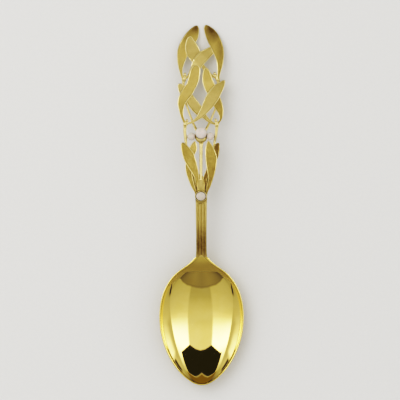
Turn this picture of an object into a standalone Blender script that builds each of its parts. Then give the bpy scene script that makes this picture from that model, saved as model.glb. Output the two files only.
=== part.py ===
"""Souvenir spoon with an openwork mistletoe handle, in metres.

World frame: +Z up, the table is z = 0, the origin is under the deepest point
of the bowl, +Y runs along the spoon towards the handle end, +X to the right.
The spoon lies with the bowl open upwards.  It is rigid: nothing on it moves.

Plan shapes are set out on a drawing grid of GRID-sized squares.  Columns grow
to the right and rows grow from the handle end towards the bowl tip.  Each leaf
is a band between two edge curves, both listed from its base to its tip.
Heights of the interlaced leaves are given in layers, one layer being a leaf's
thickness plus the solder gap, so thickening the leaves opens the weave too.
"""

import math

import bmesh
import bpy
import numpy as np

# ------------------------------------------------------------- dimensions, mm
MM = 0.001
GRID = 0.445  # one square of the drawing grid
COL_MID = 200.7  # the column that lies on the centreline
ROW_ZERO = 318.0  # the row that lies over the origin
COL_STEM = 200.8

LEAF_T = 0.75  # leaf thickness at its rim
GAP = 0.08  # solder gap between pieces that touch on the real spoon
LAYER = LEAF_T + GAP
RIM = 0.50  # width of a leaf's raised rim
RIM_SLOPE = 0.16
FIELD_DEEP = 0.20  # the satin field lies this far below the rim
FIELD_DOME = 0.05
LEAF_STATIONS = 17

BOWL_DEPTH = 7.5
BOWL_POWER = 1.5  # how the wall turns up from the floor to the rim
BOWL_LIP = 0.6
BOWL_BAND = 0.95  # height of the rim's outer band
BOWL_BACK = 7.25  # drop of the bowl's back below that band
BOWL_ROWS = 24
BOWL_COLS = 17  # odd, so that one strip runs along the middle of the flat

STEM_T = 2.0
SHEATH_T = 1.45
REED_DEEP = 0.28

# the back of the handle seen from the side: (Y, height); the stem's back is
# straight from Y = 30 to Y = 46
BACK_LINE = [(24, 7.84), (30, 8.8), (46, 11.36), (50, 12.0), (60, 12.75), (68, 12.45), (80, 11.1),
             (92, 9.1), (104, 6.7), (114, 4.35), (122, 2.3), (130.4, 0.15)]
# the stem's half-width: (row, mm)
STEM_WIDE = [(203, 2.5), (220, 2.42), (235, 2.28), (249, 2.28), (256.4, 2.45)]
# the bowl's rim seen from the side: (Y, height)
RIM_LINE = [(-29.4, 8.5), (-18, 8.15), (-6, 8.0), (4, 8.1), (13, 8.7), (20, 9.45), (28, 10.5)]
# the bowl's outline: (row, half-width in squares)
BOWL_OUTLINE = [(256.6, 6.0), (260, 9.2), (264, 13.6), (268, 19.2), (271.5, 23.9),
                (277, 29.5), (285, 34.8), (294, 38.7), (305, 41.2), (315.5, 42.0),
                (328, 41.2), (340, 38.7), (351, 34.7), (361, 29.5), (369.5, 23.4),
                (376.5, 16.4), (381.3, 9.6), (384, 0.0)]

# ---------------------------------------------------------------- leaf design
# name: (left edge, right edge, left lifts, right lifts); an edge is a list of
# (column, row), a lift is (share of the way from base to tip, layers)
LEAVES = {
    "leaf_top_left_outer": (
        [(182.0, 79.8), (181.3, 77.6), (180.2, 74), (178.7, 69), (177.6, 63), (177.2, 57), (177.6, 51),
         (179.4, 45), (182.2, 39.5), (185.8, 34), (189.8, 29.8), (193.2, 27), (195.6, 25.8), (197.3, 25.6)],
        [(184.1, 79.8), (183.5, 77.4), (182.9, 74), (182.9, 70), (184.2, 65), (186, 60.5), (187.4, 57),
         (189, 52), (191.5, 47.5), (194.3, 44.5), (196.4, 42), (198.3, 38), (199.1, 33.5),
         (199.1, 29.5), (198.6, 27), (197.3, 25.6)],
        [(0, 0), (0.35, -0.45), (0.78, -0.55), (0.92, -0.55), (1, -0.4)],
        [(0, 0), (0.3, -0.5), (0.78, -0.55), (0.92, -0.55), (1, -0.4)]),
    "leaf_top_right_outer": (
        [(217.4, 79.9), (217.2, 77.4), (217.2, 74), (217.2, 69), (216.9, 65), (216.2, 61), (214.8, 57),
         (212.8, 52.5), (210.6, 48), (208.9, 44), (207.1, 40), (205.5, 35.5), (204.4, 31),
         (204.1, 28), (204.9, 25.9), (206.4, 25)],
        [(219.6, 79.9), (219.7, 77.6), (220.4, 74), (222, 69), (223.2, 64), (223.9, 58), (224, 53),
         (223.3, 47), (221.8, 42), (219.6, 37), (216.8, 32.4), (213.4, 28.9), (210.2, 26.6),
         (208, 25.4), (206.4, 25)],
        [(0, 0), (0.2, 0.5), (0.32, 0.95), (0.58, 0.85), (0.78, -0.45), (0.92, -0.55), (1, -0.4)],
        [(0, 0), (0.3, 0.25), (0.58, 0.1), (0.78, -0.55), (0.92, -0.55), (1, -0.4)]),
    "leaf_top_left_inner": (
        [(184.7, 79.5), (186.4, 77.4), (188.2, 74.6), (189.6, 71), (191, 67.5), (192, 64), (193.3, 60.5),
         (196, 56.4), (200, 52.4), (204.5, 49.8), (209.2, 47.7), (213, 46.8), (215.6, 47.4)],
        [(186.1, 80.0), (188.4, 78.8), (192, 78), (195.5, 75), (198.5, 72), (201, 69), (204, 65),
         (208.5, 60), (212.8, 55.2), (215.2, 51.5), (215.6, 47.4)],
        [(0, 0), (0.32, 0.3), (0.46, 1.1), (0.64, 1.1), (0.81, -0.1), (1, -0.35)],
        [(0, 0), (0.29, 0.2), (0.46, 1.0), (0.64, 1.05), (0.79, -0.2), (1, -0.35)]),
    "leaf_top_right_inner": (
        [(215.5, 80.1), (214.2, 78.8), (212.2, 78.4), (209, 78), (205.8, 75.3), (203.8, 72), (202.6, 69.6), (201.5, 67),
         (199, 64.8), (195.5, 63.6), (192, 62.4), (189.4, 59.4), (187.4, 56.2), (186, 52.4),
         (185.3, 48.8), (185.2, 45), (186.2, 41), (187.8, 38), (190, 36.3)],
        [(216.8, 79.3), (215.6, 77.6), (214.2, 76.4), (211.5, 74.3), (208.3, 70.6), (205.5, 67.2), (203.9, 64.6), (202.6, 60),
         (201.5, 55), (200.2, 51.2), (198.3, 47), (196.1, 42.8), (193.6, 39.6), (191.8, 37.2),
         (190, 36.3)],
        [(0, -0.3), (0.28, -0.4), (0.49, -0.37), (0.62, 0.55), (0.81, 0.6), (1, 0.7)],
        [(0, -0.3), (0.28, -0.4), (0.62, -0.42), (0.75, 0.45), (0.86, 0.6), (1, 0.7)]),
    "leaf_mid_left_outer": (
        [(183.7, 125.0), (183.2, 123.2), (182.3, 121), (181, 118), (179.6, 113.5), (178.4, 109), (177.7, 104),
         (178.3, 99), (180, 94.5), (182.4, 90), (185, 86.6), (187, 83.5), (188.4, 79),
         (189.4, 74.5), (190.8, 70.3), (192.5, 67.5), (194.8, 66), (197, 65.6)],
        [(186.4, 124.9), (185.6, 122.4), (184.2, 119), (183.4, 115), (183.7, 110.5), (184.6, 107), (186.2, 103.5),
         (189, 99.5), (192.7, 94.8), (194.6, 91), (196.8, 87), (198.8, 82), (199.8, 77),
         (200.3, 72.5), (200.2, 69.2), (199.1, 66.9), (197, 65.6)],
        [(0, 0), (0.25, 0.9), (0.6, 1.1), (0.8, 1.35), (1, 1.75)],
        [(0, 0), (0.22, 0.9), (0.6, 1.1), (0.8, 1.4), (0.9, 1.7), (1, 1.8)]),
    "leaf_mid_right_outer": (
        [(216.4, 125.5), (217.5, 122.9), (219.2, 120.8), (219.1, 117.5), (217.8, 114), (216, 111), (213.8, 107.6),
         (210.8, 101.5), (207.8, 95.3), (205.8, 92), (204, 88), (202.6, 83.5), (202.2, 79),
         (202.5, 75), (203.2, 71.6), (204.4, 69.3), (206.2, 68.2)],
        [(218.3, 125.6), (219.5, 123.4), (221.2, 120.8), (222.7, 116.5), (223.2, 111), (222.6, 106), (221.5, 102),
         (220.2, 98.3), (218, 92.5), (216, 87.5), (214.4, 84.2), (212.7, 80), (211.3, 76),
         (209.7, 72), (208.2, 69.4), (206.2, 68.2)],
        [(0, 0), (0.6, 0), (0.8, 0.7), (1, 0.8)],
        [(0, 0), (0.6, 0), (0.78, 0.7), (1, 0.8)]),
    "leaf_mid_left_inner": (
        [(186.8, 123.6), (188.0, 123.2), (190, 122.6), (192.8, 121), (195.2, 118.6), (197.3, 115.5), (199.3, 111.5),
         (201.5, 107), (203.3, 102.5), (205.8, 97), (208, 93.2), (211.5, 89), (215.3, 85.3),
         (219.5, 82.8), (222.4, 81.3), (224.4, 80.9)],
        [(187.0, 125.2), (188.4, 125.0), (191.5, 124.2), (195.7, 122.3), (200, 119.9), (203.5, 117.3), (207, 114),
         (210.5, 110.5), (214, 106.5), (217, 102.5), (219.3, 98.8), (220.8, 95.3), (222.6, 91.5),
         (224.2, 87.5), (225, 84), (225.2, 82.2), (224.4, 80.9)],
        [(0, 0), (0.17, 1.0), (0.5, 1.1), (0.75, 1.4), (1, 0.9)],
        [(0, 0), (0.18, 0.95), (0.5, 1.1), (0.75, 1.1), (1, 0.9)]),
    "leaf_mid_right_inner": (
        [(215.4, 125.7), (213.8, 125.5), (210.8, 124.5), (207, 122.5), (203.3, 119.6), (200.3, 118.4), (197.2, 116.3),
         (193.8, 113.2), (190.5, 109.3), (187.6, 105), (185.6, 101.5), (183, 98.3), (180, 94.8),
         (178.5, 91), (177.8, 87.5), (177.9, 85.3), (178.9, 84.2)],
        [(215.9, 124.4), (214.0, 123.3), (211.8, 121.8), (209.5, 119.8), (207.8, 117.5), (206.3, 115.4), (204, 110.8),
         (201.5, 107), (197.5, 101.5), (193.2, 96), (190, 91.5), (186.5, 87.4), (183.3, 84.8),
         (181, 84.1), (178.9, 84.2)],
        [(0, 0), (1, 0)],
        [(0, 0), (1, 0)]),
    "leaf_low_left_front": (
        [(194.4, 180.3), (193.4, 176.8), (191.6, 173.4), (189.3, 169.8), (187, 166.2), (185.2, 163),
         (183.8, 160), (182.6, 156.5), (181.6, 152.5), (180.9, 148), (180.8, 145), (181.7, 143.2)],
        [(199, 180.3), (198.8, 176), (198.2, 171.5), (197.3, 167), (196.2, 162.5), (195, 158.5),
         (194, 155), (192.3, 151.8), (190.5, 149.3), (188.5, 147.2), (186.8, 145.2), (185, 143.7),
         (183.2, 143), (181.7, 143.2)],
        [(0, 0.3), (0.15, 0.9), (0.3, 1.0), (1, 1.0)],
        [(0, 0.3), (0.2, 0.8), (0.35, 1.0), (1, 1.0)]),
    "leaf_low_left_back": (
        [(194.1, 192.2), (192.4, 189.6), (190.8, 186.6), (189, 182.4), (187.3, 178), (185.9, 173),
         (185.2, 168), (185.4, 163.3), (186.2, 158), (187.8, 152), (189.6, 147.5), (191.4, 144.6),
         (193.6, 142.2), (194.8, 141.3)],
        [(196, 191.6), (195.3, 189.6), (194.3, 186), (193.2, 181.5), (192.3, 176.8), (191.8, 172),
         (192, 166), (193, 160), (194.7, 155), (196.2, 152), (197, 149), (196.7, 146),
         (195.8, 143), (194.8, 141.3)],
        [(0, 0.2), (0.2, 0), (1, 0)],
        [(0, 0.2), (0.2, 0), (1, 0)]),
    "leaf_low_right_front": (
        [(205.4, 191.6), (205.9, 189.6), (206.5, 186), (207.4, 182), (207.6, 178), (207, 173),
         (206.3, 168.7), (205.6, 164), (205.2, 159), (205, 154), (205.2, 149), (206, 145),
         (207, 142.6), (208, 141)],
        [(207.4, 192.2), (209, 189.2), (210.7, 185.2), (212.3, 180.6), (214, 175.5), (215.2, 170.5),
         (216.1, 165), (216.6, 160.5), (216.5, 157.5), (215.6, 153.8), (214.3, 150.3), (212.8, 147.3),
         (211, 144.6), (209.5, 142.5), (208, 141)],
        [(0, 0.2), (0.16, 0.5), (0.28, 1.0), (1, 1.0)],
        [(0, 0.2), (0.2, 0.5), (0.35, 1.0), (1, 1.0)]),
    "leaf_low_right_back": (
        [(202.4, 180.3), (203, 177.6), (204.1, 174.6), (205.4, 171.5), (206.3, 168.7), (207.8, 163),
         (210.2, 156.5), (212.4, 151), (213.6, 147.6), (215, 145), (216.6, 143.8), (218.4, 143.6)],
        [(206.4, 180.3), (207.8, 176.5), (209.9, 171.5), (212.6, 166.8), (215.2, 162.8), (217, 159.5),
         (218.2, 156), (219, 152), (219.3, 148), (219.2, 145.3), (218.4, 143.6)],
        [(0, 0.2), (0.12, 0), (1, 0)],
        [(0, 0.2), (0.12, 0), (1, 0)]),
}

# twigs: (column, row, width in squares, height of the back in mm, thickness in mm)
TWIGS = {
    "twig_top_left": [(184.0, 80.45, 4.4, -0.2, 0.8), (183.8, 82.2, 3.1, -0.45, 0.6), (183.5, 85.5, 2.5, -0.55, 0.45),
                      (184.1, 92, 2.1, -0.55, 0.45), (185.2, 99, 2.0, -0.55, 0.45), (186.7, 106, 1.95, -0.55, 0.45),
                      (189, 113, 2.0, -0.55, 0.45), (191.7, 120, 2.1, -0.55, 0.45), (193.6, 125, 2.3, -0.5, 0.5),
                      (195.6, 129.2, 2.5, -0.2, 0.6)],
    "twig_top_right": [(217.9, 80.55, 4.2, -0.2, 0.8), (218.1, 82.2, 3.1, -0.45, 0.6), (218.4, 85.5, 2.5, -0.55, 0.45),
                       (218.1, 93, 2.1, -0.55, 0.45), (217.2, 101, 2.0, -0.55, 0.45), (215.4, 109, 1.95, -0.55, 0.45),
                       (213, 115, 2.0, -0.55, 0.45), (210.4, 121, 2.1, -0.55, 0.45), (208.5, 125, 2.3, -0.5, 0.5),
                       (206.4, 129.2, 2.5, -0.2, 0.6)],
    "twig_side_left": [(185.3, 125.45, 4.2, 0.0, 0.8), (185.0, 127.5, 3.3, 0.0, 1.0), (184.8, 132, 3.0, 0.0, 1.0),
                       (185.3, 137, 2.9, 0.0, 1.0), (185.7, 141, 2.8, -0.1, 0.8), (186, 145, 2.4, -0.1, 0.7),
                       (186.2, 150, 1.8, -0.1, 0.6)],
    "twig_side_right": [(216.6, 126.0, 3.9, 0.0, 0.8), (216.5, 128, 3.1, 0.0, 1.0), (216, 133, 2.8, 0.0, 1.0),
                        (215.2, 138, 2.6, -0.2, 0.9), (214.4, 142, 2.4, -0.5, 0.5), (213.9, 145, 2.2, -0.55, 0.45),
                        (213.2, 150, 1.8, -0.55, 0.45)],
    "twig_centre": [(200.9, 143.95, 4.2, 0.1, 1.1), (200.9, 146.4, 3.4, 0.0, 1.2), (200.8, 152, 3.2, 0.0, 1.2),
                    (200.7, 162, 3.1, 0.0, 1.2), (200.65, 172, 2.9, 0.0, 1.2), (200.7, 180.2, 2.8, 0.0, 1.2)],
}

# round pieces: (column, row, half-width, half-length in squares)
CENTRE_CUP = (200.9, 136.5, 6.2, 7.15)
CENTRE_BERRY = (200.9, 134.5, 5.7, 5.7)
LEFT_SEAT = (190.6, 137.4, 3.5, 3.0)
LEFT_BERRY = (191.3, 137.7, 3.75, 3.9)
RIGHT_SEAT = (210.6, 137.1, 3.3, 3.0)
RIGHT_BERRY = (210.0, 137.5, 3.65, 3.95)
FOOT_COLLET = (200.5, 196.2, 5.9, 5.4)
FOOT_BERRY = (200.5, 196.2, 4.8, 4.3)
BUDS = {  # (column, row, half-width, half-length in squares, height of the underside in mm)
    "bud_top_left": (185.1, 75.2, 1.55, 1.6, 0.15),
    "bud_top_right": (214.7, 74.7, 1.6, 1.65, 0.15),
    "bud_mid_left": (187.0, 121.6, 1.4, 1.55, 0.15),
    "bud_mid_right": (215.5, 121.3, 1.5, 2.0, 0.15),
}
# the sheath's raised body: (row, centre and half-width in squares, thickness in mm)
SHEATH = [(180.6, -0.35, 5.65, 1.15), (183, -0.35, 5.05, 1.2), (186, -0.35, 4.35, 1.3), (189, -0.3, 3.8, 1.4),
          (191.6, -0.2, 3.9, SHEATH_T), (193.4, 0, 4.9, SHEATH_T), (196, 0, 5.6, SHEATH_T), (199, 0, 5.8, SHEATH_T),
          (201.6, 0, 5.6, SHEATH_T), (203.5, 0, 5.5, 1.7)]
# the web under it, which closes the slits beside the body: (row, centre, half-width)
WEB = [(177.2, 0, 8.9), (182, 0, 8.6), (187, 0, 7.4), (191, 0, 5.8), (194, 0, 4.4), (198, 0, 3.6)]
WEB_TOP, WEB_BOTTOM = -0.07, -0.5
# reeds across the stem's face: (share of the half-width, depth below the face)
REEDS = [(-1, 0.12), (-0.9, 0), (-0.74, 0), (-0.62, REED_DEEP), (-0.5, REED_DEEP), (-0.36, 0.02),
         (-0.16, 0.02), (-0.04, REED_DEEP), (0.04, REED_DEEP), (0.16, 0.02), (0.36, 0.02),
         (0.5, REED_DEEP), (0.62, REED_DEEP), (0.74, 0), (0.9, 0), (1, 0.12)]

# ------------------------------------------------------------------- helpers


def at(col, row):
    """Drawing grid to plan millimetres."""
    return np.stack([(np.asarray(col) - COL_MID) * GRID, (ROW_ZERO - np.asarray(row)) * GRID], -1)


def profile(points):
    """A curve through (a, value) knots that never overshoots them."""
    knots = np.array(sorted(points), float)
    a, v = knots[:, 0], knots[:, 1]
    h, d = np.diff(a), np.diff(v) / np.diff(a)
    m = np.empty(len(a))
    m[0], m[-1] = d[0], d[-1]
    for i in range(1, len(a) - 1):
        if d[i - 1] * d[i] <= 0:
            m[i] = 0
        else:
            w1, w2 = 2 * h[i] + h[i - 1], h[i] + 2 * h[i - 1]
            m[i] = (w1 + w2) / (w1 / d[i - 1] + w2 / d[i])

    def value(x):
        x = np.clip(np.asarray(x, float), a[0], a[-1])
        i = np.clip(np.searchsorted(a, x) - 1, 0, len(a) - 2)
        t = (x - a[i]) / h[i]
        return ((1 + 2 * t) * (1 - t) ** 2 * v[i] + t * (1 - t) ** 2 * h[i] * m[i]
                + t * t * (3 - 2 * t) * v[i + 1] + t * t * (t - 1) * h[i] * m[i + 1])

    return value


def curve(points):
    """A smooth path through plan points, evaluated by share of its length."""
    p = np.array(points, float)
    u = np.concatenate([[0], np.cumsum(np.sqrt(np.linalg.norm(np.diff(p[:, :2], axis=0), axis=1)))])
    d = np.diff(p, axis=0) / np.diff(u)[:, None]
    h = np.diff(u)
    m = np.empty_like(p)
    m[1:-1] = (h[1:, None] * d[:-1] + h[:-1, None] * d[1:]) / (h[1:] + h[:-1])[:, None]
    m[0], m[-1] = 2 * d[0] - m[1], 2 * d[-1] - m[-2]
    fine = []
    for i in range(len(h)):
        t = np.linspace(0, 1, 13)[: 13 if i == len(h) - 1 else 12, None]
        fine.append((1 + 2 * t) * (1 - t) ** 2 * p[i] + t * (1 - t) ** 2 * h[i] * m[i]
                    + t * t * (3 - 2 * t) * p[i + 1] + t * t * (t - 1) * h[i] * m[i + 1])
    fine = np.vstack(fine)
    s = np.concatenate([[0], np.cumsum(np.linalg.norm(np.diff(fine[:, :2], axis=0), axis=1))])
    s /= s[-1]
    return lambda t: np.stack([np.interp(t, s, fine[:, k]) for k in range(fine.shape[1])], -1)


back = profile(BACK_LINE)
rim_height = profile(RIM_LINE)


def material(name, colour, rough, metal):
    mat = bpy.data.materials.new(name)
    mat.use_nodes = True
    shader = mat.node_tree.nodes["Principled BSDF"]
    shader.inputs["Base Color"].default_value = (*colour, 1)
    shader.inputs["Roughness"].default_value = rough
    shader.inputs["Metallic"].default_value = metal
    mat.diffuse_color = (*colour, 1)
    return mat


GILT = {"satin": ((0.78, 0.57, 0.22), 0.42), "polished": ((0.86, 0.66, 0.28), 0.14), "deep": ((0.62, 0.42, 0.13), 0.38)}
ENAMEL = ((0.80, 0.76, 0.70), 0.3)


def piece(name, points, faces, finish, smooth=False, rotation=0.0, origin=None):
    """One object; points in mm, put at its own origin."""
    points = np.asarray(points, float)
    origin = points.mean(0) if origin is None else np.asarray(origin, float)
    local = points - origin if rotation == 0.0 else points
    mesh = bpy.data.meshes.new(name)
    bm = bmesh.new()
    verts = [bm.verts.new(tuple(p * MM)) for p in local]
    for f in faces:
        bm.faces.new([verts[i] for i in f])
    bmesh.ops.recalc_face_normals(bm, faces=bm.faces)
    bm.to_mesh(mesh)
    bm.free()
    for poly in mesh.polygons:
        poly.use_smooth = smooth
    obj = bpy.data.objects.new(name, mesh)
    colour, rough = ENAMEL if finish == "enamel" else GILT[finish]
    mesh.materials.append(material(name, colour, rough, 0.0 if finish == "enamel" else 1.0))
    obj.location = tuple(origin * MM)
    obj.rotation_euler = (rotation, 0, 0)
    bpy.context.scene.collection.objects.link(obj)
    return obj


def rings_to_faces(rows, n):
    faces = []
    for i in range(rows - 1):
        for j in range(n):
            k = (j + 1) % n
            faces.append((i * n + j, i * n + k, (i + 1) * n + k, (i + 1) * n + j))
    return faces


# -------------------------------------------------------------------- pieces


def leaf(name, left, right, lifts_l, lifts_r, finish):
    """A flat-backed leaf: raised rim, sunk field, bent over its neighbours."""
    edges = [curve(at(*np.array(e, float).T)) for e in (left, right)]
    lifts = [profile(l) for l in (lifts_l, lifts_r)]
    k = np.linspace(0, 1, LEAF_STATIONS)
    stations = 0.985 * (1.35 * k - 0.35 * k ** 2)
    rings = []
    for t in stations:
        a, b = (e(t) for e in edges)
        half = np.linalg.norm(b - a) / 2
        za, zb = (float(l(t)) * LAYER for l in lifts)
        rim = min(RIM, 0.36 * half) / half
        slope = min(RIM_SLOPE, 0.14 * half) / half
        deep = FIELD_DEEP * min(1.0, half / 1.1)
        ring = []
        for s, z in ((-1, 0), (-1, LEAF_T), (-1 + rim, LEAF_T), (-1 + rim + slope, LEAF_T - deep),
                     (0, LEAF_T - deep + FIELD_DOME), (1 - rim - slope, LEAF_T - deep),
                     (1 - rim, LEAF_T), (1, LEAF_T), (1, 0)):
            xy = a + (b - a) * (s + 1) / 2
            low = back(xy[1]) + za + (zb - za) * (s + 1) / 2
            height = low + z
            ring.append((xy[0], xy[1], max(height, 0.0) if z == 0 else height))
        rings.append(ring)
    n = 9
    points = [p for ring in rings for p in ring]
    tip = edges[0](1.0)
    low = float(back(tip[1])) + float(lifts[0](1.0)) * LAYER
    points += [(tip[0], tip[1], max(low, 0.0)), (tip[0], tip[1], low + LEAF_T)]
    last, bottom, top = (LEAF_STATIONS - 1) * n, len(points) - 2, len(points) - 1
    faces = rings_to_faces(LEAF_STATIONS, n)
    faces.append(tuple(range(n)))
    faces += [(last + j, last + j + 1, top) for j in range(1, 7)]
    faces += [(last, last + 1, top, bottom), (last + 8, last + 7, top, bottom), (last, last + 8, bottom)]
    return piece(name, points, faces, finish)


def twig(name, stations, finish="satin", n=8):
    """A half-round wire along a plan path."""
    rows = np.array(stations, float)
    path = curve(np.column_stack([at(rows[:, 0], rows[:, 1]), rows[:, 2:]]))
    count = 2 * len(stations) + 1
    points = []
    for t in np.linspace(0, 1, count):
        x, y, w, z, thick = path(t)
        ahead, behind = path(min(1, t + 0.01)), path(max(0, t - 0.01))
        along = (ahead - behind)[:2]
        across = np.array([-along[1], along[0]]) / np.linalg.norm(along)
        for j in range(n):
            a = 2 * math.pi * (j + 0.5) / n
            s = math.cos(a) * w * GRID / 2 / math.cos(math.pi / n)
            up = 0.5 + 0.5 * math.sin(a) / math.cos(math.pi / n)
            q = np.array([x, y]) + across * s
            points.append((q[0], q[1], back(q[1]) + z + thick * up))
    faces = rings_to_faces(count, n) + [tuple(range(n)), tuple(range((count - 1) * n, count * n))]
    return piece(name, points, faces, finish, smooth=True)


def turned(name, place, shape, finish, n=24, height=0.0):
    """A round piece from (radius share, height) points, centre to centre."""
    col, row, rx, ry = place
    x, y = at(col, row)
    slope = math.atan((back(y + 1) - back(y - 1)) / 2)
    points, faces = [], []
    for r, z in shape:
        if r == 0:
            points.append((0, 0, z))
            continue
        for j in range(n):
            a = 2 * math.pi * j / n
            points.append((r * rx * GRID * math.cos(a), r * ry * GRID * math.sin(a), z))
    rings = len(shape) - 2
    for i in range(rings - 1):
        for j in range(n):
            k = (j + 1) % n
            faces.append((1 + i * n + j, 1 + i * n + k, 1 + (i + 1) * n + k, 1 + (i + 1) * n + j))
    end = len(points) - 1
    for j in range(n):
        k = (j + 1) % n
        faces.append((0, 1 + k, 1 + j))
        faces.append((end, 1 + (rings - 1) * n + j, 1 + (rings - 1) * n + k))
    return piece(name, points, faces, finish, smooth=True, rotation=slope,
                 origin=(x, y, float(back(y)) + height))


def berry_shape(radius, bottom, belly, top, steps=9):
    """A ball flattened underneath: heights from `bottom` to `top`, widest at `belly`."""
    foot = math.asin(0.62)
    shape = [(0, bottom)]
    for i in range(steps):
        a = -foot_angle(foot) + (math.pi / 2 + foot_angle(foot)) * i / steps
        z = belly + math.sin(a) * ((top - belly) if a > 0 else (belly - bottom) / math.sin(foot_angle(foot)))
        shape.append((math.cos(a), z))
    shape.append((0, top))
    return shape


def foot_angle(foot):
    return math.pi / 2 - foot


def bowl():
    rows = np.array(BOWL_OUTLINE, float)
    y_knots = (ROW_ZERO - rows[:, 0]) * GRID
    # squares of the half-width stay smooth where the outline closes at the tip
    half2 = profile(list(zip(y_knots, (rows[:, 1] * GRID) ** 2)))
    tip, neck = y_knots.min(), y_knots.max()
    full = max(rows[:, 1]) * GRID

    def half(y):
        return math.sqrt(max(float(half2(y)), 0.0))

    def inner_half(y):
        """Half-width of the outline drawn in by the lip."""
        best = 1e9
        for k in range(-12, 13):
            yy = y + BOWL_LIP * 1.3 * k / 12
            if tip < yy < neck or k == 0:
                d = BOWL_LIP ** 2 - (yy - y) ** 2
                if d >= 0:
                    best = min(best, half(yy) - math.sqrt(d))
        return max(best, 0.25)

    u = np.linspace(0, 1, BOWL_ROWS)
    share = 0.5 - 0.5 * np.cos(math.pi * (0.06 + 0.94 * u * (1.24 - 0.24 * u)))
    share = (share - share[0]) / (share[-1] - share[0])
    outer_y = tip + 0.1 + (neck - tip - 0.1) * share
    inner_y = tip + BOWL_LIP + 0.12 + (neck - tip - BOWL_LIP - 0.12) * share
    theta = np.linspace(-math.pi / 2, math.pi / 2, BOWL_COLS + 1)
    flat = 0.0

    def inner(y):
        w = inner_half(y)
        return [(w * math.sin(a), y, float(rim_height(y)) - BOWL_DEPTH * (w * abs(math.cos(a)) / full) ** BOWL_POWER)
                for a in theta]

    def outer(y):
        w = half(y)
        top = float(rim_height(y)) - BOWL_BAND - 0.75 * max(0.0, (y - 14) / 14) ** 2
        return [(w * math.sin(a), y, max(flat, top - BOWL_BACK * (w * abs(math.cos(a)) / full) ** BOWL_POWER))
                for a in theta]

    points = []
    for yi, yo in zip(inner_y, outer_y):
        w, z = half(yo), float(rim_height(yo))
        points += inner(yi) + [(w, yo, z)] + outer(yo)[::-1] + [(-w, yo, z)]
    n = 2 * (BOWL_COLS + 1) + 2
    faces = rings_to_faces(BOWL_ROWS, n)
    faces.append(tuple(range((BOWL_ROWS - 1) * n, BOWL_ROWS * n)))
    # the tip: lip and band carried round it
    w0, z0, c = half(outer_y[0]), float(rim_height(outer_y[0])), BOWL_COLS
    lip = [2 * c + 3]
    for j in range(1, c):
        lip.append(len(points))
        points.append((w0 * math.sin(theta[j]), outer_y[0], z0))
    lip.append(c + 1)
    for j in range(c):
        faces.append((j, j + 1, lip[j + 1], lip[j]))
        faces.append((lip[j], lip[j + 1], 2 * c + 2 - (j + 1), 2 * c + 2 - j))
    return piece("bowl", points, faces, "polished", smooth=True, origin=(0, 0, 0))


def stem():
    """Flat reeded stem; its back is straight between Y = 30 and Y = 46."""
    y0, y1 = at(COL_STEM, 256.35)[1], at(COL_STEM, 203.75)[1]
    xc = at(COL_STEM, 0)[0]
    width = profile([(float(at(0, row)[1]), half) for row, half in STEM_WIDE])
    points, stations = [], sorted({y0, 29.0, 31.0, 34.0, 37.0, 40.0, 43.0, 46.0, 49.0, y1 - 1.2, y1})
    for y in stations:
        fade = min(1.0, (y1 - y) / 1.0, (y - y0) / 1.2)
        for s, deep in REEDS:
            points.append((xc + s * float(width(y)), y, back(y) + STEM_T - deep * (0.35 + 0.65 * max(fade, 0))))
        for s in (1, -1):
            points.append((xc + s * (float(width(y)) - 0.35), y, back(y)))
    n = len(REEDS) + 2
    faces = rings_to_faces(len(stations), n) + [tuple(range(n)), tuple(range((len(stations) - 1) * n, len(stations) * n))]
    return piece("stem", points, faces, "satin")


def sheath():
    """The fork where the lower leaves and the centre twig grow from the stem."""
    xc = at(COL_STEM, 0)[0]

    def loft(name, rows, section):
        points = [(xc + (centre + s * half) * GRID, at(0, row)[1], back(at(0, row)[1]) + z)
                  for row, centre, half, *thick in rows for s, z in section(*thick)]
        n = len(section(*rows[0][3:]))
        faces = rings_to_faces(len(rows), n) + [tuple(range(n)), tuple(range((len(rows) - 1) * n, len(rows) * n))]
        return piece(name, points, faces, "satin")

    body = loft("sheath", SHEATH, lambda thick: ((-0.94, -0.03), (-1, 0.2), (-1, thick - 0.12), (-0.88, thick),
                                                 (0.88, thick), (1, thick - 0.12), (1, 0.2), (0.94, -0.03)))
    web = loft("sheath_web", WEB, lambda: ((-1, WEB_BOTTOM), (-1, WEB_TOP), (1, WEB_TOP), (1, WEB_BOTTOM)))
    # a tongue of the web reaches up into the body, so that the two join as one
    core = loft("sheath_core", [(182, 0, 3.0), (188, 0, 3.0), (196, 0, 3.0)],
                lambda: ((-1, WEB_TOP - 0.2), (-1, 0.5), (1, 0.5), (1, WEB_TOP - 0.2)))
    for helper in (web, core):
        helper.hide_render = True
        helper.display_type = "WIRE"
        join = body.modifiers.new("join_" + helper.name, "BOOLEAN")
        join.operation, join.object = "UNION", helper
    return body


# --------------------------------------------------------------------- build
for old in list(bpy.data.objects):
    bpy.data.objects.remove(old)

bowl()
stem()
sheath()

for leaf_name, (edge_l, edge_r, up_l, up_r) in LEAVES.items():
    deep = "outer" in leaf_name or "low" in leaf_name
    leaf(leaf_name, edge_l, edge_r, up_l, up_r, "deep" if deep else "satin")

for twig_name, twig_rows in TWIGS.items():
    twig(twig_name, twig_rows)


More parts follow.
